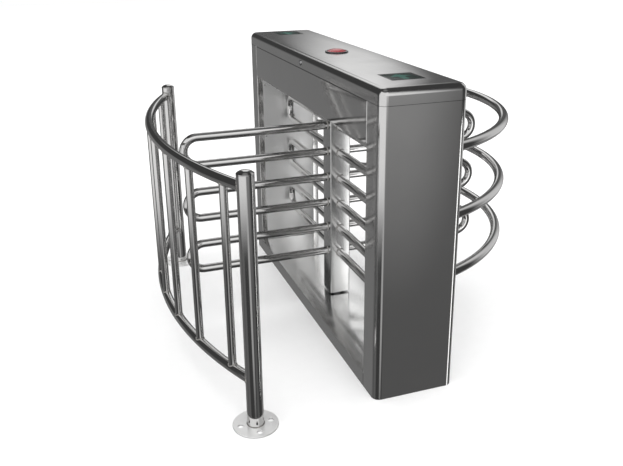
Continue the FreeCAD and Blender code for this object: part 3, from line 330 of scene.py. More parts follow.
def bumped(tree, height, strength, distance, before=None):
    inputs = {"Height": height, "Strength": strength, "Distance": distance}
    if before:
        inputs["Normal"] = before
    return addNode(tree, "ShaderNodeBump", inputs).outputs["Normal"]


def steel(name, tone, rough, spread, grain, grainDepth=0.2, ripple=0.0, smudge=0.05, surfaceMap=False):
    # polished sheet or tube: fine polishing lines, faint smudges, and a slow waviness where it is thin sheet
    material, tree, shader = newMaterial(name)
    coords = addNode(tree, "ShaderNodeTexCoord")
    place = coords.outputs["Object"]
    along = coords.outputs["UV"] if surfaceMap else place
    lines = noiseAt(tree, along, 1.0, 4.0, 0.65, stretch=grain)
    smudges = noiseAt(tree, place, 7.0, 5.0, 0.6)
    specks = noiseAt(tree, place, 260.0, 2.0, 0.5)
    base = ranged(tree, lines, rough - spread, rough + spread)
    extra = ranged(tree, smudges, 0.0, smudge, 0.45, 0.75)
    dust = ranged(tree, specks, 0.0, smudge, 0.62, 0.8)
    total = mathNode(tree, "ADD", mathNode(tree, "ADD", base, extra), dust)
    tree.links.new(total, shader.inputs["Roughness"])
    darker = tuple(0.95 * channel for channel in tone)
    tree.links.new(blended(tree, ranged(tree, smudges, 0.0, 1.0), tone, darker), shader.inputs["Base Color"])
    normal = bumped(tree, lines, grainDepth, 0.00006)
    if ripple:
        waves = noiseAt(tree, place, 3.2, 1.0, 0.4)
        normal = bumped(tree, waves, 1.0, ripple, normal)
    tree.links.new(normal, shader.inputs["Normal"])
    shader.inputs["Metallic"].default_value = 1.0
    return material


def coated(name, tone, rough, grainScale, grainDepth, fleck=0.25, metallic=0.0, coat=0.0):
    # paint, plastic, casting or plating: mottled colour, uneven gloss and a fine skin
    material, tree, shader = newMaterial(name)
    place = addNode(tree, "ShaderNodeTexCoord").outputs["Object"]
    mottle = noiseAt(tree, place, 24.0, 4.0, 0.6)
    skin = noiseAt(tree, place, grainScale, 3.0, 0.55)
    lighter = tuple(min(1.0, channel * (1 + fleck) + 0.01 * fleck) for channel in tone)
    tree.links.new(blended(tree, ranged(tree, mottle, 0.0, 1.0), tone, lighter), shader.inputs["Base Color"])
    tree.links.new(ranged(tree, skin, rough * 0.8, min(1.0, rough * 1.3)), shader.inputs["Roughness"])
    tree.links.new(bumped(tree, skin, 0.4, grainDepth), shader.inputs["Normal"])
    shader.inputs["Metallic"].default_value = metallic
    shader.inputs["Coat Weight"].default_value = coat
    return material


stainless = (0.66, 0.655, 0.65)
acrossY, upright = (900.0, 3.0, 900.0), (900.0, 900.0, 3.0)
roundTube = (18.0, 1400.0, 1.0)

cabinetSteel = steel("cabinetSteel", stainless, 0.07, 0.03, acrossY, 0.10, ripple=0.0001)
endSteel = steel("endSteel", stainless, 0.10, 0.03, upright, 0.12, ripple=0.00012)
lidSteel = steel("lidSteel", stainless, 0.13, 0.04, acrossY, 0.15, ripple=0.0001)
mirrorSteel = steel("mirrorSteel", (0.90, 0.90, 0.895), 0.16, 0.03, acrossY, 0.06, ripple=0.0001)
coverSteel = steel("coverSteel", (0.86, 0.86, 0.855), 0.34, 0.04, upright, 0.08)
tubeSteel = steel("tubeSteel", (0.68, 0.675, 0.67), 0.07, 0.03, roundTube, 0.10, surfaceMap=True)
columnSteel = steel("columnSteel", (0.66, 0.66, 0.655), 0.17, 0.05, upright, 0.18, ripple=0.0001)
flangeSteel = steel("flangeSteel", (0.95, 0.95, 0.945), 0.36, 0.06, (700.0, 700.0, 5.0), 0.20)
shaderOf(flangeSteel).inputs["Metallic"].default_value = 0.6  # bead-blasted, so it scatters part of its light
screwSteel = steel("screwSteel", (0.62, 0.62, 0.62), 0.16, 0.05, (400.0, 400.0, 400.0), 0.2)
weldSteel = steel("weldSteel", (0.50, 0.485, 0.465), 0.26, 0.08, (500.0, 500.0, 500.0), 0.35)
machinedSteel = steel("machinedSteel", (0.52, 0.52, 0.525), 0.24, 0.07, (1500.0, 1500.0, 40.0), 0.35)
bearingSteel = steel("bearingSteel", (0.62, 0.62, 0.64), 0.08, 0.02, (900.0, 900.0, 900.0), 0.08)
lockChrome = steel("lockChrome", (0.52, 0.52, 0.53), 0.08, 0.03, (600.0, 600.0, 600.0), 0.1)
supplyCase = steel("supplyCase", (0.60, 0.61, 0.62), 0.30, 0.06, acrossY, 0.3)
structureSteel = coated("structureSteel", (0.42, 0.44, 0.46), 0.38, 60.0, 0.00012, 0.35, metallic=1.0)
bearingIron = coated("bearingIron", (0.10, 0.10, 0.11), 0.55, 900.0, 0.0003, 0.5, metallic=0.6)
bushBronze = coated("bushBronze", (0.45, 0.27, 0.10), 0.32, 1200.0, 0.0001, 0.25, metallic=1.0)
motorPaint = coated("motorPaint", (0.018, 0.018, 0.02), 0.38, 700.0, 0.00012, 0.4, coat=0.3)
solenoidPaint = coated("solenoidPaint", (0.16, 0.17, 0.18), 0.42, 700.0, 0.00012, 0.3, coat=0.2)
sensorPlastic = coated("sensorPlastic", (0.02, 0.02, 0.022), 0.45, 1500.0, 0.00008, 0.5)
lampBlack = coated("lampBlack", (0.012, 0.012, 0.013), 0.24, 1300.0, 0.00006, 0.6, coat=0.4)
panelBlack = coated("panelBlack", (0.004, 0.0045, 0.0045), 0.30, 40.0, 0.00003, 0.8, coat=0.15)
ledDark = coated("ledDark", (0.006, 0.018, 0.014), 0.35, 900.0, 0.00004, 0.6, coat=0.1)
for material in (panelBlack, ledDark):
    shaderOf(material).inputs["Specular IOR Level"].default_value = 0.12  # dull glass


def litGreen():
    # a lit diode: green, a little uneven from one to the next
    material, tree, shader = newMaterial("ledGreen")
    place = addNode(tree, "ShaderNodeTexCoord").outputs["Object"]
    uneven = noiseAt(tree, place, 150.0, 2.0, 0.5)
    tree.links.new(blended(tree, ranged(tree, uneven, 0.0, 1.0), (0.02, 0.12, 0.09), (0.05, 0.22, 0.17)),
                   shader.inputs["Base Color"])
    tree.links.new(blended(tree, ranged(tree, uneven, 0.0, 1.0), (0.01, 0.20, 0.14), (0.04, 0.40, 0.30)),
                   shader.inputs["Emission Color"])
    tree.links.new(ranged(tree, uneven, 0.25, 0.4), shader.inputs["Roughness"])
    shader.inputs["Emission Strength"].default_value = 0.02
    return material


def redLens():
    # moulded red lens: rings of fine prisms under a glossy skin
    material, tree, shader = newMaterial("lampRed")
    place = addNode(tree, "ShaderNodeTexCoord").outputs["Object"]
    flat = addNode(tree, "ShaderNodeVectorMath", {0: place, 1: (1.0, 1.0, 0.0)}, operation="MULTIPLY")
    radius = addNode(tree, "ShaderNodeVectorMath", {0: flat.outputs[0]}, operation="LENGTH").outputs["Value"]
    prisms = mathNode(tree, "SINE", mathNode(tree, "MULTIPLY", radius, 2 * math.pi / 0.0035))
    uneven = noiseAt(tree, place, 60.0, 3.0, 0.5)
    tree.links.new(blended(tree, ranged(tree, prisms, 0.0, 1.0, -1.0, 1.0), (0.16, 0.002, 0.006),
                           (0.34, 0.006, 0.014)), shader.inputs["Base Color"])
    tree.links.new(ranged(tree, uneven, 0.12, 0.22), shader.inputs["Roughness"])
    tree.links.new(bumped(tree, prisms, 0.35, 0.0003), shader.inputs["Normal"])
    shader.inputs["Coat Weight"].default_value = 0.7
    shader.inputs["Coat Roughness"].default_value = 0.08
    shader.inputs["Emission Color"].default_value = (0.5, 0.0, 0.01, 1)
    shader.inputs["Emission Strength"].default_value = 0.06
    return material


def circuitBoard(topZ):
    # green mask with copper runs below topZ, dark components and pale tops above it
    material, tree, shader = newMaterial("boardGreen")
    place = addNode(tree, "ShaderNodeTexCoord").outputs["Object"]
    parts = addNode(tree, "ShaderNodeSeparateXYZ", {0: place})
    runs = addNode(tree, "ShaderNodeTexBrick", {"Vector": place, "Color1": (0.012, 0.15, 0.06, 1),
                                                "Color2": (0.02, 0.19, 0.08, 1), "Mortar": (0.06, 0.30, 0.14, 1),
                                                "Scale": 90.0, "Mortar Size": 0.03}).outputs["Color"]
    blocks = blended(tree, ranged(tree, noiseAt(tree, place, 45.0, 0.0), 0.0, 1.0, 0.49, 0.51),
                     (0.02, 0.02, 0.022), (0.05, 0.10, 0.30))
    above = ranged(tree, parts.outputs["Z"], 0.0, 1.0, topZ, topZ + 0.0002)
    tree.links.new(blended(tree, above, runs, blocks), shader.inputs["Base Color"])
    tree.links.new(ranged(tree, noiseAt(tree, place, 400.0), 0.28, 0.45), shader.inputs["Roughness"])
    return material


ledGreen, lampRed = litGreen(), redLens()
boardGreen = circuitBoard(span("control_board")[0][2] + 0.0017)
print("materials made")

# sheet and fold sizes of the portal
cabinet = {"sheet": 0.002, "corner": 0.026, "lidEdge": 0.024, "foldRadius": 0.0032,
           "lip": 0.025, "joggle": 0.017}
shellLow, shellHigh = span("front_pillar_shell")
halfWidth, halfLength, seamZ = shellHigh[0], -shellLow[1], shellHigh[2]
portal = -shellHigh[1]
headerZ = span("header_soffit")[0][2]
thresholdLow, thresholdHigh = span("threshold_plate")
lidLow, lidHigh = span("lid")
beamLow = span("header_beam")[0]


def pillarPiece(name, end, node):
    # a channel bent round two big corners, with lips, joggled steps behind them and the beam's shelf
    sheet, lip = cabinet["sheet"], cabinet["lip"]
    x, outer, inner = halfWidth - sheet / 2, halfLength - sheet / 2, portal + sheet / 2
    fold, corner = cabinet["foldRadius"] - sheet / 2, cabinet["corner"] - sheet / 2
    corners = np.array([(lip - halfWidth, inner), (-x, inner), (-x, outer), (x, outer), (x, inner),
                        (halfWidth - lip, inner)])
    corners[:, 1] *= end
    section = sheetSection(corners, [fold, corner, corner, fold], sheet, steps=14)
    shells = [extruded(section, [0, sheet / 4, seamZ - sheet / 4, seamZ], 2)]
    stepX = halfWidth - lip - cabinet["joggle"] + sheet
    for side in (-1, 1):
        xs = sorted((side * stepX, side * (halfWidth - lip + sheet)))
        ys = sorted((end * (portal + 2 * sheet), end * (portal + sheet)))
        low, high = (xs[0], ys[0], thresholdHigh[2]), (xs[1], ys[1], headerZ)
        shells.append(slabShell(low, high, 0.0008, 0.0004, axis=1))
    ys = sorted((end * (halfLength - sheet * 1.1), end * (portal + sheet * 1.1)))
    low = (sheet - halfWidth, ys[0], beamLow[2] - 0.004)
    high = (halfWidth - sheet, ys[1], beamLow[2])
    shells.append(slabShell(low, high, cabinet["corner"] - sheet, 0.0005))
    piece = addMesh(name, shells)
    return finishPiece(piece, endSteel, "cabinet", (node,))


pillarPiece("frontPillar", -1, "front_pillar_shell")
pillarPiece("rearPillar", 1, "rear_pillar_shell")

for name, node in (("frontCover", "front_pillar_cover"), ("rearCover", "rear_pillar_cover")):
    low, high = span(node)
    cover = addMesh(name, [slabShell(low, high, 0.0022, 0.0006, axis=1)])
    finishPiece(cover, coverSteel, "cabinet", (node,))

# screws: a domed head with a round socket, on the covers' long edges
screw = {"head": 0.004, "height": 0.0016, "socket": 0.0014, "socketDepth": 0.0009, "shank": 0.002,
         "shares": (0.05, 0.35, 0.65, 0.95)}
q = np.linspace(0, np.pi / 2, 7)
headProfile = np.stack([screw["head"] * np.cos(q), 0.0003 + (screw["height"] - 0.0003) * np.sin(q)], axis=1)
headProfile = headProfile[headProfile[:, 0] > screw["socket"]]
profile = [(screw["shank"], -0.0018), (screw["shank"], -0.0001), (screw["head"] - 0.0002, 0.0)]
profile += headProfile.tolist() + [(screw["socket"], screw["height"] - 0.0001),
                                   (screw["socket"], screw["height"] - screw["socketDepth"])]
screwX = halfWidth - cabinet["lip"] - cabinet["joggle"] / 2
screwSpots = [(side * screwX, thresholdHigh[2] + (headerZ - thresholdHigh[2]) * share)
              for side in (-1, 1) for share in screw["shares"]]
frontScrew = turnedShell(profile, (0, -portal, 0), axis=1, count=24)
rearScrew = turnedShell([(r, -h) for r, h in profile], (0, portal, 0), axis=1, count=24)
offsets = [(x, 0, z) for x, z in screwSpots]
screws = addMesh("coverScrewHeads", [repeated(frontScrew, offsets), repeated(rearScrew, offsets)])
finishPiece(screws, screwSteel, "cabinet", ("cover_screws",))

hookGap = {"low": (0.003, 0.0085), "high": (0.0215, 0.0255), "depth": 0.003}
for name, side, node in (("leftHeaderSide", -1, "left_header_panel"),
                         ("rightHeaderSide", 1, "right_header_panel")):
    low, high = span(node)
    sheet, lip = cabinet["sheet"], cabinet["lip"]
    face = sorted((side * halfWidth, side * (halfWidth - 0.020)))
    tray = trayShell((face[0], low[1], low[2]), (face[1], high[1], high[2]), 0.0036,
                     cabinet["foldRadius"], sheet, axis=0, faceUp=side > 0)
    bottom = sorted((side * (halfWidth - 0.019), side * (halfWidth - lip)))
    step = sorted((side * (halfWidth - lip + sheet), side * (halfWidth - lip - cabinet["joggle"] + sheet)))
    shells = [tray,
              slabShell((bottom[0], low[1], low[2]), (bottom[1], high[1], low[2] + sheet), 0.0008, 0.0004),
              slabShell((step[0], low[1], low[2] + sheet), (step[1], high[1], low[2] + 2 * sheet),
                        0.0008, 0.0004)]
    panel = addMesh(name, shells)
    if side < 0:  # the gap that the lock's hook passes through
        near, far = hookGap["low"], hookGap["high"]
        cutAway(panel, [slabShell((near[0] - halfWidth, near[1], high[2] - hookGap["depth"]),
                                  (far[0] - halfWidth, far[1], high[2] + 0.001), 0.001, 0.0002)])
    finishPiece(panel, cabinetSteel, "cabinet", (node,))

threshold = {"corner": 0.0016, "edge": 0.0009, "bore": 0.0265}
plate = addMesh("thresholdPlate", [slabShell(thresholdLow, thresholdHigh, threshold["corner"],
                                             threshold["edge"])])
bore = [(threshold["bore"], thresholdLow[2] - 0.002), (threshold["bore"], thresholdHigh[2] + 0.002)]
cutAway(plate, [turnedShell(bore, (0, 0, 0))])
finishPiece(plate, mirrorSteel, "cabinet", ("threshold_plate",))
print("cabinet made")

# the lid with its lamp, indicator panels and lock
lamp = {"body": 0.030, "ring": 0.042, "ringHeight": 0.004, "lens": 0.035, "seat": 0.0025, "nut": 0.036,
        "nutTop": 0.002, "nutLow": 0.010, "depth": 0.032, "core": 0.004, "gap": 0.0003}
indicator = {"face": 0.006, "gap": 0.0003, "glassDrop": 0.0004, "backInset": 0.010}
lock = {"plug": 0.0052, "barrel": 0.009, "head": 0.011, "nut": 0.012, "nutThick": 0.004, "length": 0.021,
        "hole": 0.0093}
panels = {"frontIndicator": "front_indicator_panel", "rearIndicator": "rear_indicator_panel"}

lid = addMesh("lidShell", [trayShell(lidLow, lidHigh, cabinet["corner"], cabinet["lidEdge"], cabinet["sheet"],
                                     steps=14, edgeSteps=12)])
topZ = lidHigh[2]
holes = []
for node in panels.values():
    low, high = span(node)
    rim = indicator["face"] - indicator["gap"]
    holes.append(slabShell((low[0] + rim, low[1] + rim, topZ - 0.01),
                           (high[0] - rim, high[1] - rim, topZ + 0.01), 0.002, 0.0002))
lampHole = lamp["body"] + lamp["gap"]
holes.append(turnedShell([(lampHole, topZ - 0.01), (lampHole, topZ + 0.01)], (0, 0, 0)))
lockLow, lockHigh = span("lid_lock")
lockZ = (lockLow[2] + lockHigh[2]) / 2
holes.append(turnedShell([(lock["hole"], -0.001), (lock["hole"], 0.012)], (-halfWidth, 0, lockZ),
                         axis=0, count=48))
cutAway(lid, holes)
finishPiece(lid, lidSteel, "lid_assembly", ("lid",))

led = {"count": 13, "pitch": 0.0072, "radius": 0.0022, "rise": 0.0006, "shaft": 1, "head": 5}


def ledShells(centre, lit):
    # a square field of small domes; the lit ones form an arrow that points along the lane
    k = np.arange(led["count"]) - led["count"] // 2
    i, j = np.meshgrid(k, k, indexing="ij")
    shaft = (abs(i) <= led["shaft"]) & (j < 1) & (j >= -led["head"])
    arrow = shaft | ((j >= 1) & (abs(i) <= led["head"] - j))
    chosen = arrow if lit else ~arrow
    spots = np.stack([centre[0] + led["pitch"] * i[chosen], centre[1] + led["pitch"] * j[chosen],
                      np.full(chosen.sum(), centre[2])], axis=1)
    r, h = led["radius"], led["rise"]
    dome = turnedShell([(r, -0.0003), (r, 0.3 * h), (0.8 * r, 0.8 * h), (0.35 * r, h)], (0, 0, 0), count=8)
    return repeated(dome, spots)


for name, node in panels.items():
    low, high = span(node)
    face, back, under = indicator["face"], indicator["backInset"], topZ - cabinet["sheet"]
    glassTop = topZ - indicator["glassDrop"]
    shells = [slabShell((low[0] + face, low[1] + face, under - 0.001),
                        (high[0] - face, high[1] - face, glassTop), 0.0018, 0.0006),
              slabShell((low[0], low[1], under - cabinet["sheet"]), (high[0], high[1], under), 0.004, 0.0006),
              slabShell((low[0] + back, low[1] + back, low[2]),
                        (high[0] - back, high[1] - back, under - 0.0015), 0.005, 0.0015)]
    finishPiece(addMesh(name, shells), panelBlack, "lid_assembly", (node,))
    middle = ((low[0] + high[0]) / 2, (low[1] + high[1]) / 2, glassTop)
    finishPiece(addMesh(name + "LitDots", [ledShells(middle, True)]), ledGreen, "lid_assembly")
    finishPiece(addMesh(name + "DarkDots", [ledShells(middle, False)]), ledDark, "lid_assembly")

ringTop = topZ + lamp["ringHeight"]
seatZ, bodyLow = ringTop - lamp["seat"], topZ - lamp["depth"]
nutTop, nutLow = topZ - lamp["nutTop"], topZ - lamp["nutLow"]
ringLine, _ = bentLine([(lamp["lens"] + 0.0001, seatZ), (lamp["lens"] + 0.0001, ringTop),
                        (lamp["ring"], ringTop), (lamp["ring"], topZ)], [0.0004, 0.0018], 6)
body, nut, core = lamp["body"], lamp["nut"], lamp["core"]
profile = [(core, seatZ)] + ringLine.tolist() + [
    (body, topZ), (body, nutTop), (nut, nutTop), (nut, nutLow), (body, nutLow),
    (body, bodyLow + 0.001), (body - 0.001, bodyLow), (core, bodyLow)]
finishPiece(addMesh("lampRing", [turnedShell(profile, (0, 0, 0), count=96)]), lampBlack, "lid_assembly",
            ("lamp_housing",))

lensLow, lensHigh = span("lamp_lens")
lensEdge = lensLow[2] + lamp["seat"]
rise = lensHigh[2] - lensEdge
sphere = (lamp["lens"] ** 2 + rise ** 2) / (2 * rise)
r = lamp["lens"] * np.linspace(1, 0.01, 24)
dome = np.stack([r, lensHigh[2] - sphere + np.sqrt(sphere ** 2 - r ** 2)], axis=1)
profile = [(0.002, lensLow[2]), (lamp["lens"], lensLow[2]), (lamp["lens"], lensEdge - 0.0004)] + dome.tolist()
finishPiece(addMesh("lampLens", [turnedShell(profile, (0, 0, 0), count=96)]), lampRed, "lid_assembly",
            ("lamp_lens",))

outerX, sheet = lockLow[0], cabinet["sheet"]
plug, barrel, nut = lock["plug"], lock["barrel"], lock["nut"]
inner, nutEnd, barrelEnd = sheet - halfWidth, sheet + lock["nutThick"] - halfWidth, lock["length"] - halfWidth
headLine, _ = bentLine([(plug, outerX + 0.0008), (plug + 0.001, outerX), (lock["head"], outerX),
                        (lock["head"], -halfWidth)], [0.0003, 0.0012], 5)
profile = headLine.tolist() + [(barrel, -halfWidth), (barrel, inner), (nut, inner), (nut, nutEnd),
                               (barrel, nutEnd), (barrel, barrelEnd), (plug, barrelEnd)]
profile = np.array(profile)
a = np.linspace(0, 2 * np.pi, 48, endpoint=False)
points = np.stack([np.repeat(profile[:, 1:], 48, axis=1), profile[:, :1] * np.cos(a),
                   lockZ + profile[:, :1] * np.sin(a)], axis=2)
finishPiece(addMesh("lockBarrel", [gridShell(points, closed=True)]), lockChrome, "lid_assembly",
            ("lid_lock",))
print("lid made")

# the rotor: four wings of three tube loops on a square column
wing = {"tube": 0.015, "pitch": 0.101, "step": 0.202, "loops": 3, "bendRows": 41, "straightRows": 11}
columnLow, columnHigh = span("rotor_column")
wingHigh = span("right_wing_loops")[1]


def loopPath(topZ):
    # out level from the column, round a half circle at the tip, and back one pitch lower
    bend, rows = wing["pitch"] / 2, wing["straightRows"]
    bendX = wingHigh[0] - wing["tube"] - bend
    startX = columnHigh[0] - 0.0005
    a = np.linspace(np.pi / 2, -np.pi / 2, wing["bendRows"])
    straight = np.linspace(startX, bendX, rows + 1)[:-1]
    x = np.concatenate([straight, bendX + bend * np.cos(a), straight[::-1]])
    z = np.concatenate([np.full(rows, topZ), topZ - bend + bend * np.sin(a), np.full(rows, topZ - 2 * bend)])
    dx = np.concatenate([np.ones(rows), np.sin(a), -np.ones(rows)])
    dz = np.concatenate([np.zeros(rows), -np.cos(a), np.zeros(rows)])
    zero = np.zeros(len(x))
    return np.stack([x, zero, z], axis=1), np.stack([dx, zero, dz], axis=1)


for name, degrees in (("right", 0), ("rear", 90), ("left", 180), ("front", 270)):
    shells, beads = [], []
    direction = turnedAboutZ(np.array([[1.0, 0, 0]]), degrees)[0]
    side = turnedAboutZ(np.array([[0, 1.0, 0]]), degrees)[0]
    for k in range(wing["loops"]):
        loopTop = wingHigh[2] - wing["tube"] - wing["step"] * k
        centre, tangent = (turnedAboutZ(line, degrees) for line in loopPath(loopTop))
        shells.append(tubeShell(centre, tangent, side, wing["tube"]))
        for z in (loopTop, loopTop - wing["pitch"]):
            foot = direction * (columnHigh[0] + 0.0004)
            beads.append(ringBead((foot[0], foot[1], z), direction, wing["tube"] + 0.0002))
    finishPiece(addMesh(name + "Wing", shells), tubeSteel, "rotor", (name + "_wing_loops",))
    finishPiece(addMesh(name + "WingWelds", beads), weldSteel, "rotor")

column = {"wall": 0.003, "corner": 0.0042, "edge": 0.0006, "innerCorner": 0.0014}
half = columnHigh[0]
edge = column["edge"]
x, y = planOutline(half, half, column["corner"], [edge, 0, 0, edge], 8)
hollow = half - column["wall"]
hx, hy = planOutline(hollow, hollow, column["innerCorner"], [0, 0], 8)
z = np.array([columnLow[2], columnLow[2] + edge, columnHigh[2] - edge, columnHigh[2]])
outside = np.stack([x, y, np.repeat(z[:, None], x.shape[1], axis=1)], axis=2)
hz = np.array([columnHigh[2], columnLow[2]])
inside = np.stack([hx, hy, np.repeat(hz[:, None], hx.shape[1], axis=1)], axis=2)
points = np.concatenate([outside, inside])
finishPiece(addMesh("rotorColumn", [gridShell(points, closed=True)]), columnSteel, "rotor",
            ("rotor_column",))
print("rotor made")

# the fixed hoops that close the other side
hoop = {"tube": 0.016, "endInset": 0.050, "rows": 121, "count": 40}
for name, node in (("topHoop", "hoop_top"), ("middleHoop", "hoop_middle"), ("bottomHoop", "hoop_bottom")):
    low, high = span(node)
    endY = halfLength - hoop["endInset"]
    rise = high[0] - hoop["tube"] - halfWidth
    bendRadius = (endY ** 2 + rise ** 2) / (2 * rise)
    centreX = halfWidth + rise - bendRadius
    z = (low[2] + high[2]) / 2
    # the arc ends where each line along the tube reaches the cabinet's face
    a = np.linspace(0, 2 * np.pi, hoop["count"], endpoint=False)
    reach = bendRadius + hoop["tube"] * np.cos(a)
    end = np.arccos((halfWidth - centreX) / reach)
    phi = np.linspace(-1, 1, hoop["rows"])[:, None] * end
    points = np.stack([centreX + reach * np.cos(phi), reach * np.sin(phi),
                       z + hoop["tube"] * np.sin(a) + 0 * phi], axis=2)
    finishPiece(addMesh(name, [gridShell(points)]), tubeSteel, "cabinet", (node,))
    beads = []
    for row in (points[0], points[-1]):
        outward = row - row.mean(axis=0)
        outward /= np.linalg.norm(outward, axis=1)[:, None]
        fine = np.linspace(0, len(row), 4 * len(row), endpoint=False)
        line = np.stack([np.interp(fine, np.arange(len(row) + 1), np.append(row[:, k], row[0, k]))
                         for k in range(3)], axis=1)
        outward = np.stack([np.interp(fine, np.arange(len(row) + 1), np.append(outward[:, k], outward[0, k]))
                            for k in range(3)], axis=1)
        beads.append(beadShell(line + (0.0004, 0, 0), outward, np.tile((1.0, 0, 0), (len(line), 1))))
    finishPiece(addMesh(name + "Welds", beads), weldSteel, "cabinet")
print("hoops made")

# the lane railing: posts, rails and balusters
railing = {"bend": 1.540, "tube": 0.016, "postInset": 0.048, "post": 0.0255, "wall": 0.002,
           "capHeight": 0.012, "flange": 0.070, "flangeThick": 0.005, "boltCircle": 0.095, "boltHole": 0.009,
           "balusters": 7, "baluster": 0.0125, "endGap": 0.082, "barReach": 0.008}
railLow, railHigh = span("railing_top_rail")
centreX = railLow[0] + railing["bend"] + railing["tube"]
halfSpan = halfLength - railing["postInset"]
frontLow, frontHigh = span("front_railing_post")
rearLow, rearHigh = span("rear_railing_post")
posts = {"front": (frontLow + frontHigh) / 2, "rear": (rearLow + rearHigh) / 2}
centreY = (posts["front"][1] + posts["rear"][1]) / 2
railZ = {"railing_top_rail": (railLow[2] + railHigh[2]) / 2}
bottomLow, bottomHigh = span("railing_bottom_rail")
railZ["railing_bottom_rail"] = (bottomLow[2] + bottomHigh[2]) / 2

capTop = span("railing_post_caps")[1][2]
capBottom = capTop - railing["capHeight"]
caps, flanges, flangeHoles, postWelds = [], [], [], []
for name, place in posts.items():
    x, y = place[0], place[1]
    low, high = (frontLow, frontHigh) if name == "front" else (rearLow, rearHigh)
    r, wall = railing["post"], railing["wall"]
    outline = np.array([(r - 0.0005, low[2]), (r, low[2] + 0.0005), (r, high[2] - 0.0008),
                        (r - 0.0008, high[2]), (r - wall, high[2]), (r - wall, low[2])])
    a = np.linspace(0, 2 * np.pi, 96, endpoint=False)
    points = np.stack([x + outline[:, :1] * np.cos(a), y + outline[:, :1] * np.sin(a),
                       np.repeat(outline[:, 1:], 96, axis=1)], axis=2)
    finishPiece(addMesh(name + "Post", [gridShell(points, closed=True)]), tubeSteel, "cabinet",
                (name + "_railing_post",))
    # a shallow dome on a short round edge, with the plug that fits the tube below it
    rise = railing["capHeight"] - 0.002
    ball = (r ** 2 + rise ** 2) / (2 * rise)
    t = np.linspace(0.995, 0.01, 24)
    dome = np.stack([r * t, capTop - ball + np.sqrt(ball ** 2 - (r * t) ** 2)], axis=1)
    plugLow, plugRadius = capBottom - 0.010, r - wall - 0.00003
    profile = [(0.001, plugLow), (r - wall - 0.0005, plugLow), (plugRadius, plugLow + 0.001),
               (plugRadius, capBottom), (r - 0.0006, capBottom), (r, capBottom + 0.0006),
               (r, capBottom + 0.0015)] + dome.tolist()
    caps.append(turnedShell(profile, (x, y, 0), count=96))
    rim = railing["flange"]
    edge, _ = bentLine([(rim, 0), (rim, railing["flangeThick"]), (r, railing["flangeThick"])], [0.0012], 6)
    profile = [(0.001, 0)] + edge.tolist() + [(0.001, railing["flangeThick"])]
    flanges.append(turnedShell(profile, (x, y, 0), count=128))
    for k in range(4):
        hx = x + railing["boltCircle"] / 2 * math.cos(math.pi / 2 * k)
        hy = y + railing["boltCircle"] / 2 * math.sin(math.pi / 2 * k)
        hole, h = railing["boltHole"], railing["flangeThick"]
        countersink = [(hole, -0.001), (hole, h - 0.0008), (hole + 0.0008, h), (hole + 0.0008, h + 0.001)]
        flangeHoles.append(turnedShell(countersink, (hx, hy, 0), count=40))
    postWelds.append(ringBead((x, y, railing["flangeThick"] + 0.0003), (0, 0, 1), r + 0.0002, 240))
finishPiece(addMesh("postCaps", caps), tubeSteel, "cabinet", ("railing_post_caps",))
flangePiece = addMesh("postFlanges", flanges)
cutAway(flangePiece, flangeHoles)
finishPiece(flangePiece, flangeSteel, "cabinet", ("railing_post_flanges",))

postAngle = math.asin(halfSpan / railing["bend"])
for name, node in (("topRail", "railing_top_rail"), ("bottomRail", "railing_bottom_rail")):
    inset = 0.003 / railing["bend"]
    points = arcTube((centreX, centreY, railZ[node]), railing["bend"], railing["tube"],
                     math.pi - postAngle + inset, math.pi + postAngle - inset)
    finishPiece(addMesh(name, [gridShell(points)]), tubeSteel, "cabinet", (node,))
    a = np.linspace(0, 2 * np.pi, 160, endpoint=False)[:, None]
    for end in (-1, 1):
        # where the rail's round meets the post's, the post's axis lying (ahead, aside) of the rail's end:
        # ahead + sqrt(post^2 - (rail * cos a - aside)^2) along the rail
        phi = math.pi - end * postAngle
        radial = np.array([math.cos(phi), math.sin(phi), 0])
        inward = end * np.array([-math.sin(phi), math.cos(phi), 0])
        foot = np.array([centreX, centreY, railZ[node]]) + railing["bend"] * radial
        low, high = (frontLow, frontHigh) if end < 0 else (rearLow, rearHigh)
        offAxis = (np.array([low[0] + high[0], low[1] + high[1], 0]) / 2 - foot) * (1, 1, 0)
        ahead, aside = float(offAxis @ inward), float(offAxis @ radial)
        across = railing["tube"] * np.cos(a) - aside
        away = ahead + np.sqrt(np.maximum(railing["post"] ** 2 - across ** 2, 0))
        outward = np.cos(a) * radial + np.sin(a) * np.array([0, 0, 1.0])
        line = foot + away * inward + railing["tube"] * outward
        postWelds.append(beadShell(line, outward, np.tile(inward, (160, 1))))

bars, barWelds = [], []
low, high = railZ["railing_bottom_rail"], railZ["railing_top_rail"]
shares = np.arange(railing["balusters"]) / (railing["balusters"] - 1) * 2 - 1
offsets = shares * (halfSpan - railing["endGap"])
for offset in offsets:
    x = centreX - math.sqrt(railing["bend"] ** 2 - offset ** 2)
    y = centreY + offset
    r, start, stop = railing["baluster"], low + railing["barReach"], high - railing["barReach"]
    bars.append(turnedShell([(r, start), (r, low + 0.2), (r, high - 0.2), (r, stop)], (x, y, 0), count=40))
    lean = math.atan2(offset, x - centreX)
    a = np.linspace(0, 2 * np.pi, 120, endpoint=False)[:, None]
    outward = np.concatenate([np.cos(a), np.sin(a), 0 * a], axis=1)
    drop = np.sqrt(railing["tube"] ** 2 - (r * np.cos(a - lean)) ** 2)
    for z, side in ((low, 1), (high, -1)):
        line = np.array([x, y, z]) + r * outward + np.concatenate([0 * a, 0 * a, side * drop], axis=1)
        barWelds.append(beadShell(line, outward, np.tile((0, 0, 1.0), (120, 1))))
finishPiece(addMesh("balusters", bars), tubeSteel, "cabinet", ("railing_balusters",))
finishPiece(addMesh("railingWelds", postWelds + barWelds), weldSteel, "cabinet")
print("railing made,", pieceCount, "pieces")

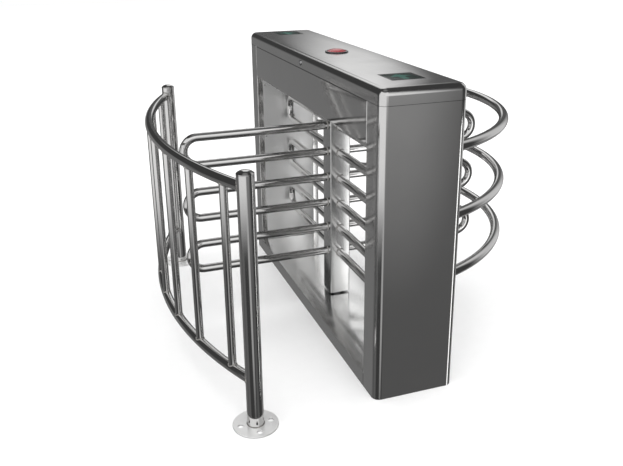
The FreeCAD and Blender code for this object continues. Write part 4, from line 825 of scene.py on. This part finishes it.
# finishes of the pieces kept as they are
nodeFinish = {
    "base_tray": cabinetSteel, "header_soffit": mirrorSteel, "header_beam": structureSteel,
    "header_fasteners": screwSteel, "top_bearing_housing": bearingIron, "top_bearing_outer_ring": bearingSteel,
    "top_bearing_balls": bearingSteel, "foot_bearing_housing": bearingIron, "foot_bush": bushBronze,
    "gearmotor": motorPaint, "pawl_solenoids": solenoidPaint, "pawl_pivot_pins": machinedSteel,
    "pawl_return_springs": screwSteel, "position_sensor": sensorPlastic, "control_board": boardGreen,
    "power_supply": supplyCase, "lid_hinge_fixed_halves": screwSteel, "rotor_shaft": machinedSteel,
    "rotor_foot_pivot": machinedSteel, "top_bearing_inner_ring": bearingSteel, "lock_disc": machinedSteel,
    "main_gear": machinedSteel, "sensor_disc": supplyCase, "shaft_collar": machinedSteel,
    "motor_pinion": machinedSteel, "entry_pawl": machinedSteel, "exit_pawl": machinedSteel,
    "entry_plunger": bearingSteel, "exit_plunger": bearingSteel, "lid_hinge_moving_leaves": screwSteel,
    "lid_lock_cam": lockChrome,
}
for name, material in nodeFinish.items():
    for slot in nodes[name].material_slots:
        slot.material = material
print("node finishes set,", len(nodeFinish))

# a plain floor, far wider than the object
ground = {"half": 15.0, "top": -0.0005, "thickness": 0.02, "glow": 0.10}
floorMaterial = coated("floorPaint", (0.86, 0.86, 0.86), 0.7, 30.0, 0.0002, 0.02)
shaderOf(floorMaterial).inputs["Emission Color"].default_value = (1, 1, 1, 1)
shaderOf(floorMaterial).inputs["Emission Strength"].default_value = ground["glow"]
half, top = ground["half"], ground["top"]
floorPoints = np.array([[(-half, -half, top), (half, -half, top), (half, half, top), (-half, half, top)]])
floorPoints = np.concatenate([floorPoints - (0, 0, ground["thickness"]), floorPoints])
floor = addMesh("studioFloor", [gridShell(floorPoints)])
floor.data.materials.append(floorMaterial)
floor.visible_glossy = False

# soft boxes all round, by direction in degrees: middle, half width and softness sideways, low and high edges,
# softness up and down, and strength
studio = {
    "ambient": 0.07,
    "columns": ("middle", "half", "soft", "low", "high", "softUp", "strength"),
    "boxes": [
        (216, 50, 9, -21, 54, 4, 1.25),
        (182, 22, 10, -50, -16, 5, 0.18),
        (261, 12, 8, -34, -16, 5, 0.65),
        (272, 29, 7, 4, 54, 7, 1.35),
        (276, 11, 4, -14, 20, 6, 0.85),
        (278, 26, 10, -24, 45, 16, 0.42),
        (300, 18, 8, -45, 0, 10, 0.15),
        (20, 20, 14, -19, 45, 5, 0.9),
        (30, 24, 12, -50, -14, 5, 0.35),
        (142, 18, 10, -60, -8, 8, 0.20),
        (108, 30, 10, -60, 3, 6, 0.26),
        (67.5, 4.2, 3.5, 6, 40, 4, 1.15),
        (74, 15, 5, 19, 54, 4, 1.25),
        (66, 22, 8, 0, 60, 8, 0.14),
        (180, 181, 1, 70, 120, 10, 0.30),
    ],
}
world = bpy.data.worlds.new("studioWorld")
bpy.context.scene.world = world
world.use_nodes = True
tree = world.node_tree
tree.nodes.clear()
direction = addNode(tree, "ShaderNodeTexCoord").outputs["Generated"]
axes = addNode(tree, "ShaderNodeSeparateXYZ", {0: direction})
azimuth = mathNode(tree, "ARCTAN2", axes.outputs["Y"], axes.outputs["X"])
elevation = mathNode(tree, "ARCSINE", axes.outputs["Z"])


def softStep(value, low, high):
    sockets = {"Value": value, "From Min": low, "From Max": high, "To Min": 0.0, "To Max": 1.0}
    return addNode(tree, "ShaderNodeMapRange", sockets, interpolation_type="SMOOTHSTEP").outputs["Result"]


total = studio["ambient"]
for row in studio["boxes"]:
    box = dict(zip(studio["columns"], row))
    rad = {key: math.radians(value) for key, value in box.items()}
    turned = mathNode(tree, "SUBTRACT", azimuth, rad["middle"])
    away = mathNode(tree, "ABSOLUTE", mathNode(tree, "WRAP", turned, math.pi, -math.pi))
    sideways = softStep(away, rad["half"] + rad["soft"], rad["half"] - rad["soft"])
    lower = softStep(elevation, rad["low"] - rad["softUp"], rad["low"] + rad["softUp"])
    upper = softStep(elevation, rad["high"] + rad["softUp"], rad["high"] - rad["softUp"])
    shape = mathNode(tree, "MULTIPLY", mathNode(tree, "MULTIPLY", sideways, lower), upper)
    total = mathNode(tree, "MAXIMUM", mathNode(tree, "MULTIPLY", shape, box["strength"]), total)
background = addNode(tree, "ShaderNodeBackground", {"Strength": total})
backdrop = addNode(tree, "ShaderNodeBackground", {"Color": (1, 1, 1, 1), "Strength": 1.0})
rays = addNode(tree, "ShaderNodeLightPath")
either = addNode(tree, "ShaderNodeMixShader", {0: rays.outputs["Is Camera Ray"], 1: background.outputs[0],
                                               2: backdrop.outputs[0]})
addNode(tree, "ShaderNodeOutputWorld", {"Surface": either.outputs[0]})

# light from above for the floor and the painted pieces
daylight = {"strength": 3.2, "spread": 100}
skyData = bpy.data.lights.new("overheadLight", "SUN")
skyData.energy = daylight["strength"]
skyData.angle = math.radians(daylight["spread"])
sky = bpy.data.objects.new("overheadLight", skyData)
sky.visible_glossy = False
bpy.context.scene.collection.objects.link(sky)

# a glowing card beside the entrance, for the inner faces of the portal; only reflections show it
card = {"low": (0.48, -1.02, -0.60), "high": (0.74, -1.0, 0.75), "strength": 2.0}
cardMaterial, _, cardShader = newMaterial("cardGlow")
cardShader.inputs["Base Color"].default_value = (0, 0, 0, 1)
cardShader.inputs["Emission Color"].default_value = (1, 1, 1, 1)
cardShader.inputs["Emission Strength"].default_value = card["strength"]
glowCard = addMesh("glowCard", [slabShell(card["low"], card["high"], 0.01, 0.004, axis=1)])
glowCard.data.materials.append(cardMaterial)
glowCard.visible_camera = False
glowCard.visible_diffuse = False
glowCard.visible_shadow = False

view = {"place": (-0.98267, -2.55847, 1.39974), "right": (0.94110286, -0.33804087, -0.00733344),
        "up": (0.12152127, 0.31791537, 0.9402991), "forward": (0.31552812, 0.88580934, -0.34027022),
        "lens": 43.32, "shift": (-0.01265, -0.0438)}
cameraData = bpy.data.cameras.new("studioCamera")
cameraData.lens = view["lens"]
cameraData.sensor_width = 36.0
cameraData.sensor_fit = "HORIZONTAL"
cameraData.shift_x, cameraData.shift_y = view["shift"]
cameraData.clip_start = 0.01
camera = bpy.data.objects.new("studioCamera", cameraData)
turn = Matrix((view["right"], view["up"], tuple(-k for k in view["forward"]))).transposed()
camera.matrix_world = Matrix.Translation(Vector(view["place"])) @ turn.to_4x4()
bpy.context.scene.collection.objects.link(camera)
bpy.context.scene.camera = camera
bpy.context.scene.view_settings.view_transform = "Standard"
print("stage set")
